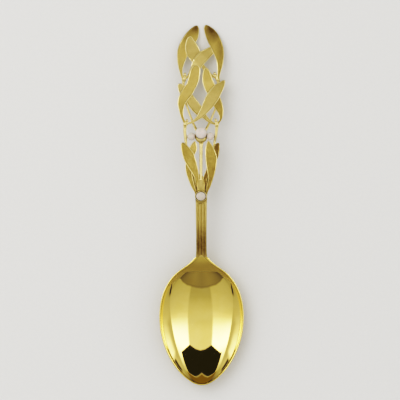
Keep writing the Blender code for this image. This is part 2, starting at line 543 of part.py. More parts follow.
def cup():
    """A pouch round the big berry: its wall hugs the berry below and dies away towards the handle end."""
    n, (ccol, crow, crx, cry), (bcol, brow, brad, _) = 32, CENTRE_CUP, CENTRE_BERRY
    x, y = at(bcol, brow)
    slope = math.atan((back(y + 1) - back(y - 1)) / 2)
    drop = crow - brow
    points, faces = [(0, 0, 0)], []
    rings = [(-0.5, 0), (0.6, 0.05), (1, 0.4), (0.94, 0.85), (0.6, 1.3), (0.25, 1.5), (0.06, 1.45), (0, 1.2), (-0.1, 0.62), (-0.3, 0.5)]
    for m, z in rings:
        for j in range(n):
            c, s = math.cos(2 * math.pi * j / n), math.sin(2 * math.pi * j / n)
            # along this direction, how far it is from the berry's middle to the cup's outline
            p, q, k = (c / crx) ** 2 + (s / cry) ** 2, s * drop / cry ** 2, (drop / cry) ** 2 - 1
            out = (-q + math.sqrt(q * q - p * k)) / p
            inner = min(brad - 0.25, out - 0.35)
            r = (inner + m * (out - inner) if m >= 0 else inner * (1 + m)) * GRID
            share = (1 - s) / 2
            points.append((r * c, r * s, z if z <= 0.5 else 0.5 + (z - 0.5) * share))
    points.append((0, 0, 0.5))
    for i in range(len(rings) - 1):
        for j in range(n):
            k = (j + 1) % n
            faces.append((1 + i * n + j, 1 + i * n + k, 1 + (i + 1) * n + k, 1 + (i + 1) * n + j))
    end = len(points) - 1
    for j in range(n):
        k = (j + 1) % n
        faces += [(0, 1 + k, 1 + j), (end, end - n + j, end - n + k)]
    return piece("centre_berry_cup", points, faces, "polished", smooth=True, rotation=slope,
                 origin=(x, y, float(back(y)) - 0.05))


cup()
turned("centre_berry", CENTRE_BERRY, berry_shape(1, 0.8, 2.35, 4.5), "enamel", n=28)

for side, seat, berry in (("left", LEFT_SEAT, LEFT_BERRY), ("right", RIGHT_SEAT, RIGHT_BERRY)):
    turned(side + "_berry_seat", seat, [(0, 0), (0.85, 0), (1, 0.25), (1, 0.55), (0.85, 0.7), (0, 0.7)], "satin", n=20)
    turned(side + "_berry", berry, berry_shape(1, 0.78, 1.6, 3.0, 7), "enamel", n=22)

turned("foot_berry_collet", FOOT_COLLET,
       [(0, 0), (0.92, 0), (1, 0.15), (1, 0.7), (0.96, 0.8), (0.88, 0.75), (0.84, 0.3), (0, 0.3)],
       "polished", n=28, height=SHEATH_T + GAP)
turned("foot_berry", FOOT_BERRY, berry_shape(1, 0.0, 0.75, 1.75, 8), "enamel", n=26, height=SHEATH_T + GAP + 0.38)

for bud_name, (*bud_place, under) in BUDS.items():
    turned(bud_name, bud_place, berry_shape(1, 0.0, 0.45, 1.2, 5), "polished", n=14, height=under)
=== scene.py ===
"""Looks for the souvenir spoon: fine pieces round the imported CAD, their materials, the studio and the camera.

Every fine piece is laid out from the same design tables as the CAD solid it stands for, in millimetres,
and built in the row frame, in metres.
"""

import math

import bmesh
import bpy
import numpy as np
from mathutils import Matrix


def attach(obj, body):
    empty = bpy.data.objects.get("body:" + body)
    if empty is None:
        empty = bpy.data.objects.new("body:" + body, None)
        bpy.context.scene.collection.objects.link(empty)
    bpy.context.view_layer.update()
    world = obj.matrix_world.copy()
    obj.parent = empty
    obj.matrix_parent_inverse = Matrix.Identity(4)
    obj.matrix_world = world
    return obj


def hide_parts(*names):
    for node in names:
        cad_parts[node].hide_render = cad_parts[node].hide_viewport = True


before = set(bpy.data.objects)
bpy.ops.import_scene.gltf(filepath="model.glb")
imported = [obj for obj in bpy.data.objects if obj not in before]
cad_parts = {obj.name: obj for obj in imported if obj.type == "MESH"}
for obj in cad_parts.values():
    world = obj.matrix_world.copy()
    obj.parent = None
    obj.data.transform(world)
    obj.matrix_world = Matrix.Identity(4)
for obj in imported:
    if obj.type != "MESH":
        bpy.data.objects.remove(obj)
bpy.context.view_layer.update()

# ------------------------------------------------------------- dimensions, mm
MM = 0.001
GRID = 0.445
COL_MID = 200.7
ROW_ZERO = 318.0
COL_STEM = 200.8

LEAF_T = 0.75
GAP = 0.08
LAYER = LEAF_T + GAP
FIELD_DEEP = 0.20
FIELD_DOME = 0.05

BOWL_DEPTH = 7.5
BOWL_POWER = 1.5
BOWL_BAND = 0.95
BOWL_BACK = 7.25

STEM_T = 2.0
SHEATH_T = 1.45
REED_DEEP = 0.28

# the back of the handle seen from the side: (Y, height); the stem's back is
# straight from Y = 30 to Y = 46
BACK_LINE = [(24, 7.84), (30, 8.8), (46, 11.36), (50, 12.0), (60, 12.75), (68, 12.45), (80, 11.1),
             (92, 9.1), (104, 6.7), (114, 4.35), (122, 2.3), (130.4, 0.15)]
# the stem's half-width: (row, mm)
STEM_WIDE = [(203, 2.5), (220, 2.42), (235, 2.28), (249, 2.28), (256.4, 2.45)]
# the bowl's rim seen from the side: (Y, height)
RIM_LINE = [(-29.4, 8.5), (-18, 8.15), (-6, 8.0), (4, 8.1), (13, 8.7), (20, 9.45), (28, 10.5)]
# the bowl's outline: (row, half-width in squares)
BOWL_OUTLINE = [(256.6, 6.0), (260, 9.2), (264, 13.6), (268, 19.2), (271.5, 23.9),
                (277, 29.5), (285, 34.8), (294, 38.7), (305, 41.2), (315.5, 42.0),
                (328, 41.2), (340, 38.7), (351, 34.7), (361, 29.5), (369.5, 23.4),
                (376.5, 16.4), (381.3, 9.6), (384, 0.0)]

# ---------------------------------------------------------------- leaf design
# name: (left edge, right edge, left lifts, right lifts); an edge is a list of
# (column, row), a lift is (share of the way from base to tip, layers)
LEAVES = {
    "leaf_top_left_outer": (
        [(182.0, 79.8), (181.3, 77.6), (180.2, 74), (178.7, 69), (177.6, 63), (177.2, 57), (177.6, 51),
         (179.4, 45), (182.2, 39.5), (185.8, 34), (189.8, 29.8), (193.2, 27), (195.6, 25.8), (197.3, 25.6)],
        [(184.1, 79.8), (183.5, 77.4), (182.9, 74), (182.9, 70), (184.2, 65), (186, 60.5), (187.4, 57),
         (189, 52), (191.5, 47.5), (194.3, 44.5), (196.4, 42), (198.3, 38), (199.1, 33.5),
         (199.1, 29.5), (198.6, 27), (197.3, 25.6)],
        [(0, 0), (0.35, -0.45), (0.78, -0.55), (0.92, -0.55), (1, -0.4)],
        [(0, 0), (0.3, -0.5), (0.78, -0.55), (0.92, -0.55), (1, -0.4)]),
    "leaf_top_right_outer": (
        [(217.4, 79.9), (217.2, 77.4), (217.2, 74), (217.2, 69), (216.9, 65), (216.2, 61), (214.8, 57),
         (212.8, 52.5), (210.6, 48), (208.9, 44), (207.1, 40), (205.5, 35.5), (204.4, 31),
         (204.1, 28), (204.9, 25.9), (206.4, 25)],
        [(219.6, 79.9), (219.7, 77.6), (220.4, 74), (222, 69), (223.2, 64), (223.9, 58), (224, 53),
         (223.3, 47), (221.8, 42), (219.6, 37), (216.8, 32.4), (213.4, 28.9), (210.2, 26.6),
         (208, 25.4), (206.4, 25)],
        [(0, 0), (0.2, 0.5), (0.32, 0.95), (0.58, 0.85), (0.78, -0.45), (0.92, -0.55), (1, -0.4)],
        [(0, 0), (0.3, 0.25), (0.58, 0.1), (0.78, -0.55), (0.92, -0.55), (1, -0.4)]),
    "leaf_top_left_inner": (
        [(184.7, 79.5), (186.4, 77.4), (188.2, 74.6), (189.6, 71), (191, 67.5), (192, 64), (193.3, 60.5),
         (196, 56.4), (200, 52.4), (204.5, 49.8), (209.2, 47.7), (213, 46.8), (215.6, 47.4)],
        [(186.1, 80.0), (188.4, 78.8), (192, 78), (195.5, 75), (198.5, 72), (201, 69), (204, 65),
         (208.5, 60), (212.8, 55.2), (215.2, 51.5), (215.6, 47.4)],
        [(0, 0), (0.32, 0.3), (0.46, 1.1), (0.64, 1.1), (0.81, -0.1), (1, -0.35)],
        [(0, 0), (0.29, 0.2), (0.46, 1.0), (0.64, 1.05), (0.79, -0.2), (1, -0.35)]),
    "leaf_top_right_inner": (
        [(215.5, 80.1), (214.2, 78.8), (212.2, 78.4), (209, 78), (205.8, 75.3), (203.8, 72), (202.6, 69.6), (201.5, 67),
         (199, 64.8), (195.5, 63.6), (192, 62.4), (189.4, 59.4), (187.4, 56.2), (186, 52.4),
         (185.3, 48.8), (185.2, 45), (186.2, 41), (187.8, 38), (190, 36.3)],
        [(216.8, 79.3), (215.6, 77.6), (214.2, 76.4), (211.5, 74.3), (208.3, 70.6), (205.5, 67.2), (203.9, 64.6), (202.6, 60),
         (201.5, 55), (200.2, 51.2), (198.3, 47), (196.1, 42.8), (193.6, 39.6), (191.8, 37.2),
         (190, 36.3)],
        [(0, -0.3), (0.28, -0.4), (0.49, -0.37), (0.62, 0.55), (0.81, 0.6), (1, 0.7)],
        [(0, -0.3), (0.28, -0.4), (0.62, -0.42), (0.75, 0.45), (0.86, 0.6), (1, 0.7)]),
    "leaf_mid_left_outer": (
        [(183.7, 125.0), (183.2, 123.2), (182.3, 121), (181, 118), (179.6, 113.5), (178.4, 109), (177.7, 104),
         (178.3, 99), (180, 94.5), (182.4, 90), (185, 86.6), (187, 83.5), (188.4, 79),
         (189.4, 74.5), (190.8, 70.3), (192.5, 67.5), (194.8, 66), (197, 65.6)],
        [(186.4, 124.9), (185.6, 122.4), (184.2, 119), (183.4, 115), (183.7, 110.5), (184.6, 107), (186.2, 103.5),
         (189, 99.5), (192.7, 94.8), (194.6, 91), (196.8, 87), (198.8, 82), (199.8, 77),
         (200.3, 72.5), (200.2, 69.2), (199.1, 66.9), (197, 65.6)],
        [(0, 0), (0.25, 0.9), (0.6, 1.1), (0.8, 1.35), (1, 1.75)],
        [(0, 0), (0.22, 0.9), (0.6, 1.1), (0.8, 1.4), (0.9, 1.7), (1, 1.8)]),
    "leaf_mid_right_outer": (
        [(216.4, 125.5), (217.5, 122.9), (219.2, 120.8), (219.1, 117.5), (217.8, 114), (216, 111), (213.8, 107.6),
         (210.8, 101.5), (207.8, 95.3), (205.8, 92), (204, 88), (202.6, 83.5), (202.2, 79),
         (202.5, 75), (203.2, 71.6), (204.4, 69.3), (206.2, 68.2)],
        [(218.3, 125.6), (219.5, 123.4), (221.2, 120.8), (222.7, 116.5), (223.2, 111), (222.6, 106), (221.5, 102),
         (220.2, 98.3), (218, 92.5), (216, 87.5), (214.4, 84.2), (212.7, 80), (211.3, 76),
         (209.7, 72), (208.2, 69.4), (206.2, 68.2)],
        [(0, 0), (0.6, 0), (0.8, 0.7), (1, 0.8)],
        [(0, 0), (0.6, 0), (0.78, 0.7), (1, 0.8)]),
    "leaf_mid_left_inner": (
        [(186.8, 123.6), (188.0, 123.2), (190, 122.6), (192.8, 121), (195.2, 118.6), (197.3, 115.5), (199.3, 111.5),
         (201.5, 107), (203.3, 102.5), (205.8, 97), (208, 93.2), (211.5, 89), (215.3, 85.3),
         (219.5, 82.8), (222.4, 81.3), (224.4, 80.9)],
        [(187.0, 125.2), (188.4, 125.0), (191.5, 124.2), (195.7, 122.3), (200, 119.9), (203.5, 117.3), (207, 114),
         (210.5, 110.5), (214, 106.5), (217, 102.5), (219.3, 98.8), (220.8, 95.3), (222.6, 91.5),
         (224.2, 87.5), (225, 84), (225.2, 82.2), (224.4, 80.9)],
        [(0, 0), (0.17, 1.0), (0.5, 1.1), (0.75, 1.4), (1, 0.9)],
        [(0, 0), (0.18, 0.95), (0.5, 1.1), (0.75, 1.1), (1, 0.9)]),
    "leaf_mid_right_inner": (
        [(215.4, 125.7), (213.8, 125.5), (210.8, 124.5), (207, 122.5), (203.3, 119.6), (200.3, 118.4), (197.2, 116.3),
         (193.8, 113.2), (190.5, 109.3), (187.6, 105), (185.6, 101.5), (183, 98.3), (180, 94.8),
         (178.5, 91), (177.8, 87.5), (177.9, 85.3), (178.9, 84.2)],
        [(215.9, 124.4), (214.0, 123.3), (211.8, 121.8), (209.5, 119.8), (207.8, 117.5), (206.3, 115.4), (204, 110.8),
         (201.5, 107), (197.5, 101.5), (193.2, 96), (190, 91.5), (186.5, 87.4), (183.3, 84.8),
         (181, 84.1), (178.9, 84.2)],
        [(0, 0), (1, 0)],
        [(0, 0), (1, 0)]),
    "leaf_low_left_front": (
        [(194.4, 180.3), (193.4, 176.8), (191.6, 173.4), (189.3, 169.8), (187, 166.2), (185.2, 163),
         (183.8, 160), (182.6, 156.5), (181.6, 152.5), (180.9, 148), (180.8, 145), (181.7, 143.2)],
        [(199, 180.3), (198.8, 176), (198.2, 171.5), (197.3, 167), (196.2, 162.5), (195, 158.5),
         (194, 155), (192.3, 151.8), (190.5, 149.3), (188.5, 147.2), (186.8, 145.2), (185, 143.7),
         (183.2, 143), (181.7, 143.2)],
        [(0, 0.3), (0.15, 0.9), (0.3, 1.0), (1, 1.0)],
        [(0, 0.3), (0.2, 0.8), (0.35, 1.0), (1, 1.0)]),
    "leaf_low_left_back": (
        [(194.1, 192.2), (192.4, 189.6), (190.8, 186.6), (189, 182.4), (187.3, 178), (185.9, 173),
         (185.2, 168), (185.4, 163.3), (186.2, 158), (187.8, 152), (189.6, 147.5), (191.4, 144.6),
         (193.6, 142.2), (194.8, 141.3)],
        [(196, 191.6), (195.3, 189.6), (194.3, 186), (193.2, 181.5), (192.3, 176.8), (191.8, 172),
         (192, 166), (193, 160), (194.7, 155), (196.2, 152), (197, 149), (196.7, 146),
         (195.8, 143), (194.8, 141.3)],
        [(0, 0.2), (0.2, 0), (1, 0)],
        [(0, 0.2), (0.2, 0), (1, 0)]),
    "leaf_low_right_front": (
        [(205.4, 191.6), (205.9, 189.6), (206.5, 186), (207.4, 182), (207.6, 178), (207, 173),
         (206.3, 168.7), (205.6, 164), (205.2, 159), (205, 154), (205.2, 149), (206, 145),
         (207, 142.6), (208, 141)],
        [(207.4, 192.2), (209, 189.2), (210.7, 185.2), (212.3, 180.6), (214, 175.5), (215.2, 170.5),
         (216.1, 165), (216.6, 160.5), (216.5, 157.5), (215.6, 153.8), (214.3, 150.3), (212.8, 147.3),
         (211, 144.6), (209.5, 142.5), (208, 141)],
        [(0, 0.2), (0.16, 0.5), (0.28, 1.0), (1, 1.0)],
        [(0, 0.2), (0.2, 0.5), (0.35, 1.0), (1, 1.0)]),
    "leaf_low_right_back": (
        [(202.4, 180.3), (203, 177.6), (204.1, 174.6), (205.4, 171.5), (206.3, 168.7), (207.8, 163),
         (210.2, 156.5), (212.4, 151), (213.6, 147.6), (215, 145), (216.6, 143.8), (218.4, 143.6)],
        [(206.4, 180.3), (207.8, 176.5), (209.9, 171.5), (212.6, 166.8), (215.2, 162.8), (217, 159.5),
         (218.2, 156), (219, 152), (219.3, 148), (219.2, 145.3), (218.4, 143.6)],
        [(0, 0.2), (0.12, 0), (1, 0)],
        [(0, 0.2), (0.12, 0), (1, 0)]),
}

# twigs: (column, row, width in squares, height of the back in mm, thickness in mm)
TWIGS = {
    "twig_top_left": [(184.0, 80.45, 4.4, -0.2, 0.8), (183.8, 82.2, 3.1, -0.45, 0.6), (183.5, 85.5, 2.5, -0.55, 0.45),
                      (184.1, 92, 2.1, -0.55, 0.45), (185.2, 99, 2.0, -0.55, 0.45), (186.7, 106, 1.95, -0.55, 0.45),
                      (189, 113, 2.0, -0.55, 0.45), (191.7, 120, 2.1, -0.55, 0.45), (193.6, 125, 2.3, -0.5, 0.5),
                      (195.6, 129.2, 2.5, -0.2, 0.6)],
    "twig_top_right": [(217.9, 80.55, 4.2, -0.2, 0.8), (218.1, 82.2, 3.1, -0.45, 0.6), (218.4, 85.5, 2.5, -0.55, 0.45),
                       (218.1, 93, 2.1, -0.55, 0.45), (217.2, 101, 2.0, -0.55, 0.45), (215.4, 109, 1.95, -0.55, 0.45),
                       (213, 115, 2.0, -0.55, 0.45), (210.4, 121, 2.1, -0.55, 0.45), (208.5, 125, 2.3, -0.5, 0.5),
                       (206.4, 129.2, 2.5, -0.2, 0.6)],
    "twig_side_left": [(185.3, 125.45, 4.2, 0.0, 0.8), (185.0, 127.5, 3.3, 0.0, 1.0), (184.8, 132, 3.0, 0.0, 1.0),
                       (185.3, 137, 2.9, 0.0, 1.0), (185.7, 141, 2.8, -0.1, 0.8), (186, 145, 2.4, -0.1, 0.7),
                       (186.2, 150, 1.8, -0.1, 0.6)],
    "twig_side_right": [(216.6, 126.0, 3.9, 0.0, 0.8), (216.5, 128, 3.1, 0.0, 1.0), (216, 133, 2.8, 0.0, 1.0),
                        (215.2, 138, 2.6, -0.2, 0.9), (214.4, 142, 2.4, -0.5, 0.5), (213.9, 145, 2.2, -0.55, 0.45),
                        (213.2, 150, 1.8, -0.55, 0.45)],
    "twig_centre": [(200.9, 143.95, 4.2, 0.1, 1.1), (200.9, 146.4, 3.4, 0.0, 1.2), (200.8, 152, 3.2, 0.0, 1.2),
                    (200.7, 162, 3.1, 0.0, 1.2), (200.65, 172, 2.9, 0.0, 1.2), (200.7, 180.2, 2.8, 0.0, 1.2)],
}

# round pieces: (column, row, half-width, half-length in squares)
CENTRE_CUP = (200.9, 136.5, 6.2, 7.15)
CENTRE_BERRY = (200.9, 134.5, 5.7, 5.7)
LEFT_SEAT = (190.6, 137.4, 3.5, 3.0)
LEFT_BERRY = (191.3, 137.7, 3.75, 3.9)
RIGHT_SEAT = (210.6, 137.1, 3.3, 3.0)
RIGHT_BERRY = (210.0, 137.5, 3.65, 3.95)
FOOT_COLLET = (200.5, 196.2, 5.9, 5.4)
FOOT_BERRY = (200.5, 196.2, 4.8, 4.3)
BUDS = {  # (column, row, half-width, half-length in squares, height of the underside in mm)
    "bud_top_left": (185.1, 75.2, 1.55, 1.6, 0.15),
    "bud_top_right": (214.7, 74.7, 1.6, 1.65, 0.15),
    "bud_mid_left": (187.0, 121.6, 1.4, 1.55, 0.15),
    "bud_mid_right": (215.5, 121.3, 1.5, 2.0, 0.15),
}
# the sheath's raised body: (row, centre and half-width in squares, thickness in mm)
SHEATH = [(180.6, -0.35, 5.65, 1.15), (183, -0.35, 5.05, 1.2), (186, -0.35, 4.35, 1.3), (189, -0.3, 3.8, 1.4),
          (191.6, -0.2, 3.9, SHEATH_T), (193.4, 0, 4.9, SHEATH_T), (196, 0, 5.6, SHEATH_T), (199, 0, 5.8, SHEATH_T),
          (201.6, 0, 5.6, SHEATH_T), (203.5, 0, 5.5, 1.7)]
# the web under it, which closes the slits beside the body: (row, centre, half-width)
WEB = [(177.2, 0, 8.9), (182, 0, 8.6), (187, 0, 7.4), (191, 0, 5.8), (194, 0, 4.4), (198, 0, 3.6)]
WEB_TOP, WEB_BOTTOM = -0.07, -0.5
# ------------------------------------------------------------------- helpers


def at(col, row):
    """Drawing grid to plan millimetres."""
    return np.stack([(np.asarray(col) - COL_MID) * GRID, (ROW_ZERO - np.asarray(row)) * GRID], -1)


def profile(points):
    """A curve through (a, value) knots that never overshoots them."""
    knots = np.array(sorted(points), float)
    a, v = knots[:, 0], knots[:, 1]
    h, d = np.diff(a), np.diff(v) / np.diff(a)
    m = np.empty(len(a))
    m[0], m[-1] = d[0], d[-1]
    for i in range(1, len(a) - 1):
        if d[i - 1] * d[i] <= 0:
            m[i] = 0
        else:
            w1, w2 = 2 * h[i] + h[i - 1], h[i] + 2 * h[i - 1]
            m[i] = (w1 + w2) / (w1 / d[i - 1] + w2 / d[i])

    def value(x):
        x = np.clip(np.asarray(x, float), a[0], a[-1])
        i = np.clip(np.searchsorted(a, x) - 1, 0, len(a) - 2)
        t = (x - a[i]) / h[i]
        return ((1 + 2 * t) * (1 - t) ** 2 * v[i] + t * (1 - t) ** 2 * h[i] * m[i]
                + t * t * (3 - 2 * t) * v[i + 1] + t * t * (t - 1) * h[i] * m[i + 1])

    return value


def curve(points):
    """A smooth path through plan points, evaluated by share of its length."""
    p = np.array(points, float)
    u = np.concatenate([[0], np.cumsum(np.sqrt(np.linalg.norm(np.diff(p[:, :2], axis=0), axis=1)))])
    d = np.diff(p, axis=0) / np.diff(u)[:, None]
    h = np.diff(u)
    m = np.empty_like(p)
    m[1:-1] = (h[1:, None] * d[:-1] + h[:-1, None] * d[1:]) / (h[1:] + h[:-1])[:, None]
    m[0], m[-1] = 2 * d[0] - m[1], 2 * d[-1] - m[-2]
    fine = []
    for i in range(len(h)):
        t = np.linspace(0, 1, 13)[: 13 if i == len(h) - 1 else 12, None]
        fine.append((1 + 2 * t) * (1 - t) ** 2 * p[i] + t * (1 - t) ** 2 * h[i] * m[i]
                    + t * t * (3 - 2 * t) * p[i + 1] + t * t * (t - 1) * h[i] * m[i + 1])
    fine = np.vstack(fine)
    s = np.concatenate([[0], np.cumsum(np.linalg.norm(np.diff(fine[:, :2], axis=0), axis=1))])
    s /= s[-1]
    return lambda t: np.stack([np.interp(t, s, fine[:, k]) for k in range(fine.shape[1])], -1)


def natural(points):
    """A curve with smooth curvature through (a, value) knots."""
    knots = np.array(sorted(points), float)
    a, v, n = knots[:, 0], knots[:, 1], len(points)
    h = np.diff(a)
    left, right = np.zeros((n, n)), np.zeros(n)
    left[0, 0] = left[-1, -1] = 1
    for i in range(1, n - 1):
        left[i, i - 1:i + 2] = h[i - 1], 2 * (h[i - 1] + h[i]), h[i]
        right[i] = 6 * ((v[i + 1] - v[i]) / h[i] - (v[i] - v[i - 1]) / h[i - 1])
    bend = np.linalg.solve(left, right)

    def value(x):
        x = np.clip(np.asarray(x, float), a[0], a[-1])
        i = np.clip(np.searchsorted(a, x) - 1, 0, n - 2)
        p, q, w = a[i + 1] - x, x - a[i], h[i]
        return ((bend[i] * p ** 3 + bend[i + 1] * q ** 3) / (6 * w)
                + (v[i] / w - bend[i] * w / 6) * p + (v[i + 1] / w - bend[i + 1] * w / 6) * q)

    return value


def evened(x, v, spread):
    """Samples v at the evenly spaced x, with ripples shorter than `spread` taken out."""
    step = x[1] - x[0]
    k = int(4 * spread / step)
    g = np.exp(-((np.arange(-k, k + 1) * step) ** 2) / (2 * spread * spread))
    padded = np.concatenate([2 * v[0] - v[k:0:-1], v, 2 * v[-1] - v[-2:-k - 2:-1]])
    return np.convolve(padded, g / g.sum(), "valid")


back = profile(BACK_LINE)
rim_height = profile(RIM_LINE)


# ----------------------------------------------------------------- node graphs
class Graph:
    """Short names for the nodes of one material or world."""

    def __init__(self, owner):
        owner.use_nodes = True
        self.tree = owner.node_tree
        self.tree.nodes.clear()

    def node(self, kind, **settings):
        made = self.tree.nodes.new(kind)
        for key, value in settings.items():
            setattr(made, key, value)
        return made

    def feed(self, socket, value):
        if isinstance(value, bpy.types.NodeSocket):
            self.tree.links.new(value, socket)
        elif isinstance(value, (tuple, list)) and len(value) == 3 and socket.type == "RGBA":
            socket.default_value = (*value, 1)
        else:
            socket.default_value = value

    def math(self, kind, a, b=0.0, c=0.0, clamp=False):
        made = self.node("ShaderNodeMath", operation=kind, use_clamp=clamp)
        for socket, value in zip(made.inputs, (a, b, c)):
            self.feed(socket, value)
        return made.outputs[0]

    def add(self, a, b):
        return self.math("ADD", a, b)

    def sub(self, a, b):
        return self.math("SUBTRACT", a, b)

    def mul(self, a, b):
        return self.math("MULTIPLY", a, b)

    def ramp(self, value, lo, hi, to_lo=0.0, to_hi=1.0, smooth=True):
        made = self.node("ShaderNodeMapRange", interpolation_type="SMOOTHSTEP" if smooth else "LINEAR", clamp=True)
        for socket, v in zip(made.inputs, (value, lo, hi, to_lo, to_hi)):
            self.feed(socket, v)
        return made.outputs[0]

    def table(self, value, knots):
        """A level that follows (value, level) knots."""
        total = knots[0][1]
        for (v0, a0), (v1, a1) in zip(knots[:-1], knots[1:]):
            total = self.add(total, self.ramp(value, v0, v1, 0.0, a1 - a0, smooth=False))
        return total

    def mix(self, share, a, b):
        made = self.node("ShaderNodeMix", data_type="RGBA")
        self.feed(made.inputs[0], share)
        self.feed(made.inputs[6], a)
        self.feed(made.inputs[7], b)
        return made.outputs[2]

    def noise(self, place, scale, detail=2.0, rough=0.5, stretch=None):
        if stretch:
            shift = self.node("ShaderNodeMapping")
            shift.inputs["Scale"].default_value = stretch
            self.feed(shift.inputs["Vector"], place)
            place = shift.outputs[0]
        made = self.node("ShaderNodeTexNoise")
        self.feed(made.inputs["Vector"], place)
        made.inputs["Scale"].default_value = scale
        made.inputs["Detail"].default_value = detail
        made.inputs["Roughness"].default_value = rough
        return made.outputs["Fac"]

    def place(self):
        """Object coordinates in millimetres."""
        found = self.node("ShaderNodeTexCoord").outputs["Object"]
        scale = self.node("ShaderNodeVectorMath", operation="SCALE")
        self.feed(scale.inputs[0], found)
        scale.inputs["Scale"].default_value = 1000.0
        return scale.outputs[0]

    def attribute(self, name):
        return self.node("ShaderNodeAttribute", attribute_name=name).outputs["Fac"]

    def steadied(self, share):
        """The surface normal, drawn towards the handle's own arch where the face looks up: hand-smoothed metal."""
        found = self.node("ShaderNodeNewGeometry").outputs["Normal"]
        lean = self.node("ShaderNodeCombineXYZ")
        self.feed(lean.inputs[1], self.mul(self.attribute("lean"), -1.0))
        lean.inputs[2].default_value = 1.0
        aim = self.node("ShaderNodeVectorMath", operation="NORMALIZE")
        self.feed(aim.inputs[0], lean.outputs[0])
        along = self.node("ShaderNodeVectorMath", operation="DOT_PRODUCT")
        self.feed(along.inputs[0], found)
        self.feed(along.inputs[1], aim.outputs[0])
        mask = self.mul(self.ramp(along.outputs["Value"], 0.86, 0.95), share)
        blend = self.mix(mask, found, aim.outputs[0])
        done = self.node("ShaderNodeVectorMath", operation="NORMALIZE")
        self.feed(done.inputs[0], blend)
        return done.outputs[0]

    def bump(self, height, distance, strength=1.0, normal=None):
        made = self.node("ShaderNodeBump")
        self.feed(made.inputs["Height"], height)
        if normal is not None:
            self.feed(made.inputs["Normal"], normal)
        made.inputs["Distance"].default_value = distance
        made.inputs["Strength"].default_value = strength
        return made.outputs[0]

    def surface(self, **inputs):
        shader = self.node("ShaderNodeBsdfPrincipled")
        for key, value in inputs.items():
            self.feed(shader.inputs[key.replace("_", " ")], value)
        out = self.node("ShaderNodeOutputMaterial")
        self.tree.links.new(shader.outputs[0], out.inputs[0])


GOLD = {  # bright face, deeper face
    "polished": ((0.90, 0.705, 0.25), (0.87, 0.67, 0.22)),
    "satin": ((0.79, 0.64, 0.30), (0.735, 0.58, 0.25)),
    # deep: the satin gold a little darker and more saturated, as painted shade for the outer and lower leaves
    "deep": ((0.79, 0.625, 0.265), (0.735, 0.56, 0.215)),
}
# paler gold laid on burnished rims, crests, buds and the sheath's spine as a painted highlight
RIM_HIGHLIGHT_GOLD = (0.95, 0.81, 0.44)
SECOND = (0.97, 0.92, 0.74)  # gold seen in gold, so that a double reflection does not turn orange
# dark browns painted in as painted shade: the first over shaded faces and the bowl's neck, the second in hollows,
# grooves, beside rims and under pieces
SHADE_BROWN = (0.235, 0.157, 0.032)
HOLLOW_SHADE = (0.20, 0.14, 0.035)


def gold_worked(name, kind, rough=0.52, grain=0.008):
    """Satin fields with burnished raised edges: attribute rim says where the edges are burnished and get a painted
    highlight, tone where painted shade darkens the gold, and hollow where a dark brown painted shade lies.
    """
    mat = bpy.data.materials.new(name)
    g = Graph(mat)
    at_mm = g.place()
    rim, tone, hollow = g.attribute("rim"), g.attribute("tone"), g.attribute("hollow")
    mottle = g.ramp(g.noise(at_mm, 0.7, 3.0, 0.55), 0.3, 0.7)
    grit = g.noise(at_mm, 7.0, 2.0, 0.65)
    brush = g.noise(at_mm, 5.0, 2.0, 0.5, stretch=(2.2, 0.35, 1.0))
    face = g.mix(g.mul(mottle, 0.45), GOLD[kind][0], GOLD[kind][1])
    face = g.mix(g.ramp(grit, 0.35, 0.75, 0.0, 0.35), face, GOLD[kind][1])
    # painted shade: tone, broken up by slow noise, darkens the gold towards a shaded brown
    painted_shade = g.math("MULTIPLY", tone, g.ramp(g.noise(at_mm, 0.55, 3.0, 0.6), 0.2, 0.8, 0.8, 1.1), clamp=True)
    face = g.mix(painted_shade, face, SHADE_BROWN)
    # painted shade in hollows, grooves, beside rims and under pieces
    face = g.mix(g.mul(hollow, 0.55), face, HOLLOW_SHADE)
    # burnished rims: smoother, and paler gold as a painted highlight, less so under painted shade
    burnish_and_highlight = g.math("MULTIPLY", rim, g.ramp(g.noise(at_mm, 1.6, 3.0, 0.6), 0.15, 0.6, 0.7, 1.0), clamp=True)
    colour = g.mix(g.mul(burnish_and_highlight, g.sub(1.0, g.mul(painted_shade, 0.8))), face, RIM_HIGHLIGHT_GOLD)
    field_rough = g.add(g.ramp(grit, 0.3, 0.7, rough - 0.04, rough + 0.05), g.ramp(mottle, 0.0, 1.0, -0.02, 0.02))
    roughness = g.add(g.mul(field_rough, g.sub(1.0, burnish_and_highlight)), g.mul(burnish_and_highlight, 0.28))
    height = g.add(g.mul(grit, g.ramp(burnish_and_highlight, 0.0, 1.0, 1.0, 0.15)), g.mul(brush, g.ramp(burnish_and_highlight, 0.0, 1.0, 0.7, 0.1)))
    colour = g.mix(g.mul(g.node("ShaderNodeLightPath").outputs["Is Glossy Ray"], 0.7), colour, SECOND)
    g.surface(Base_Color=colour, Metallic=1.0, Roughness=roughness,
              Normal=g.bump(height, grain * MM, normal=g.steadied(g.attribute("steady"))))
    return mat


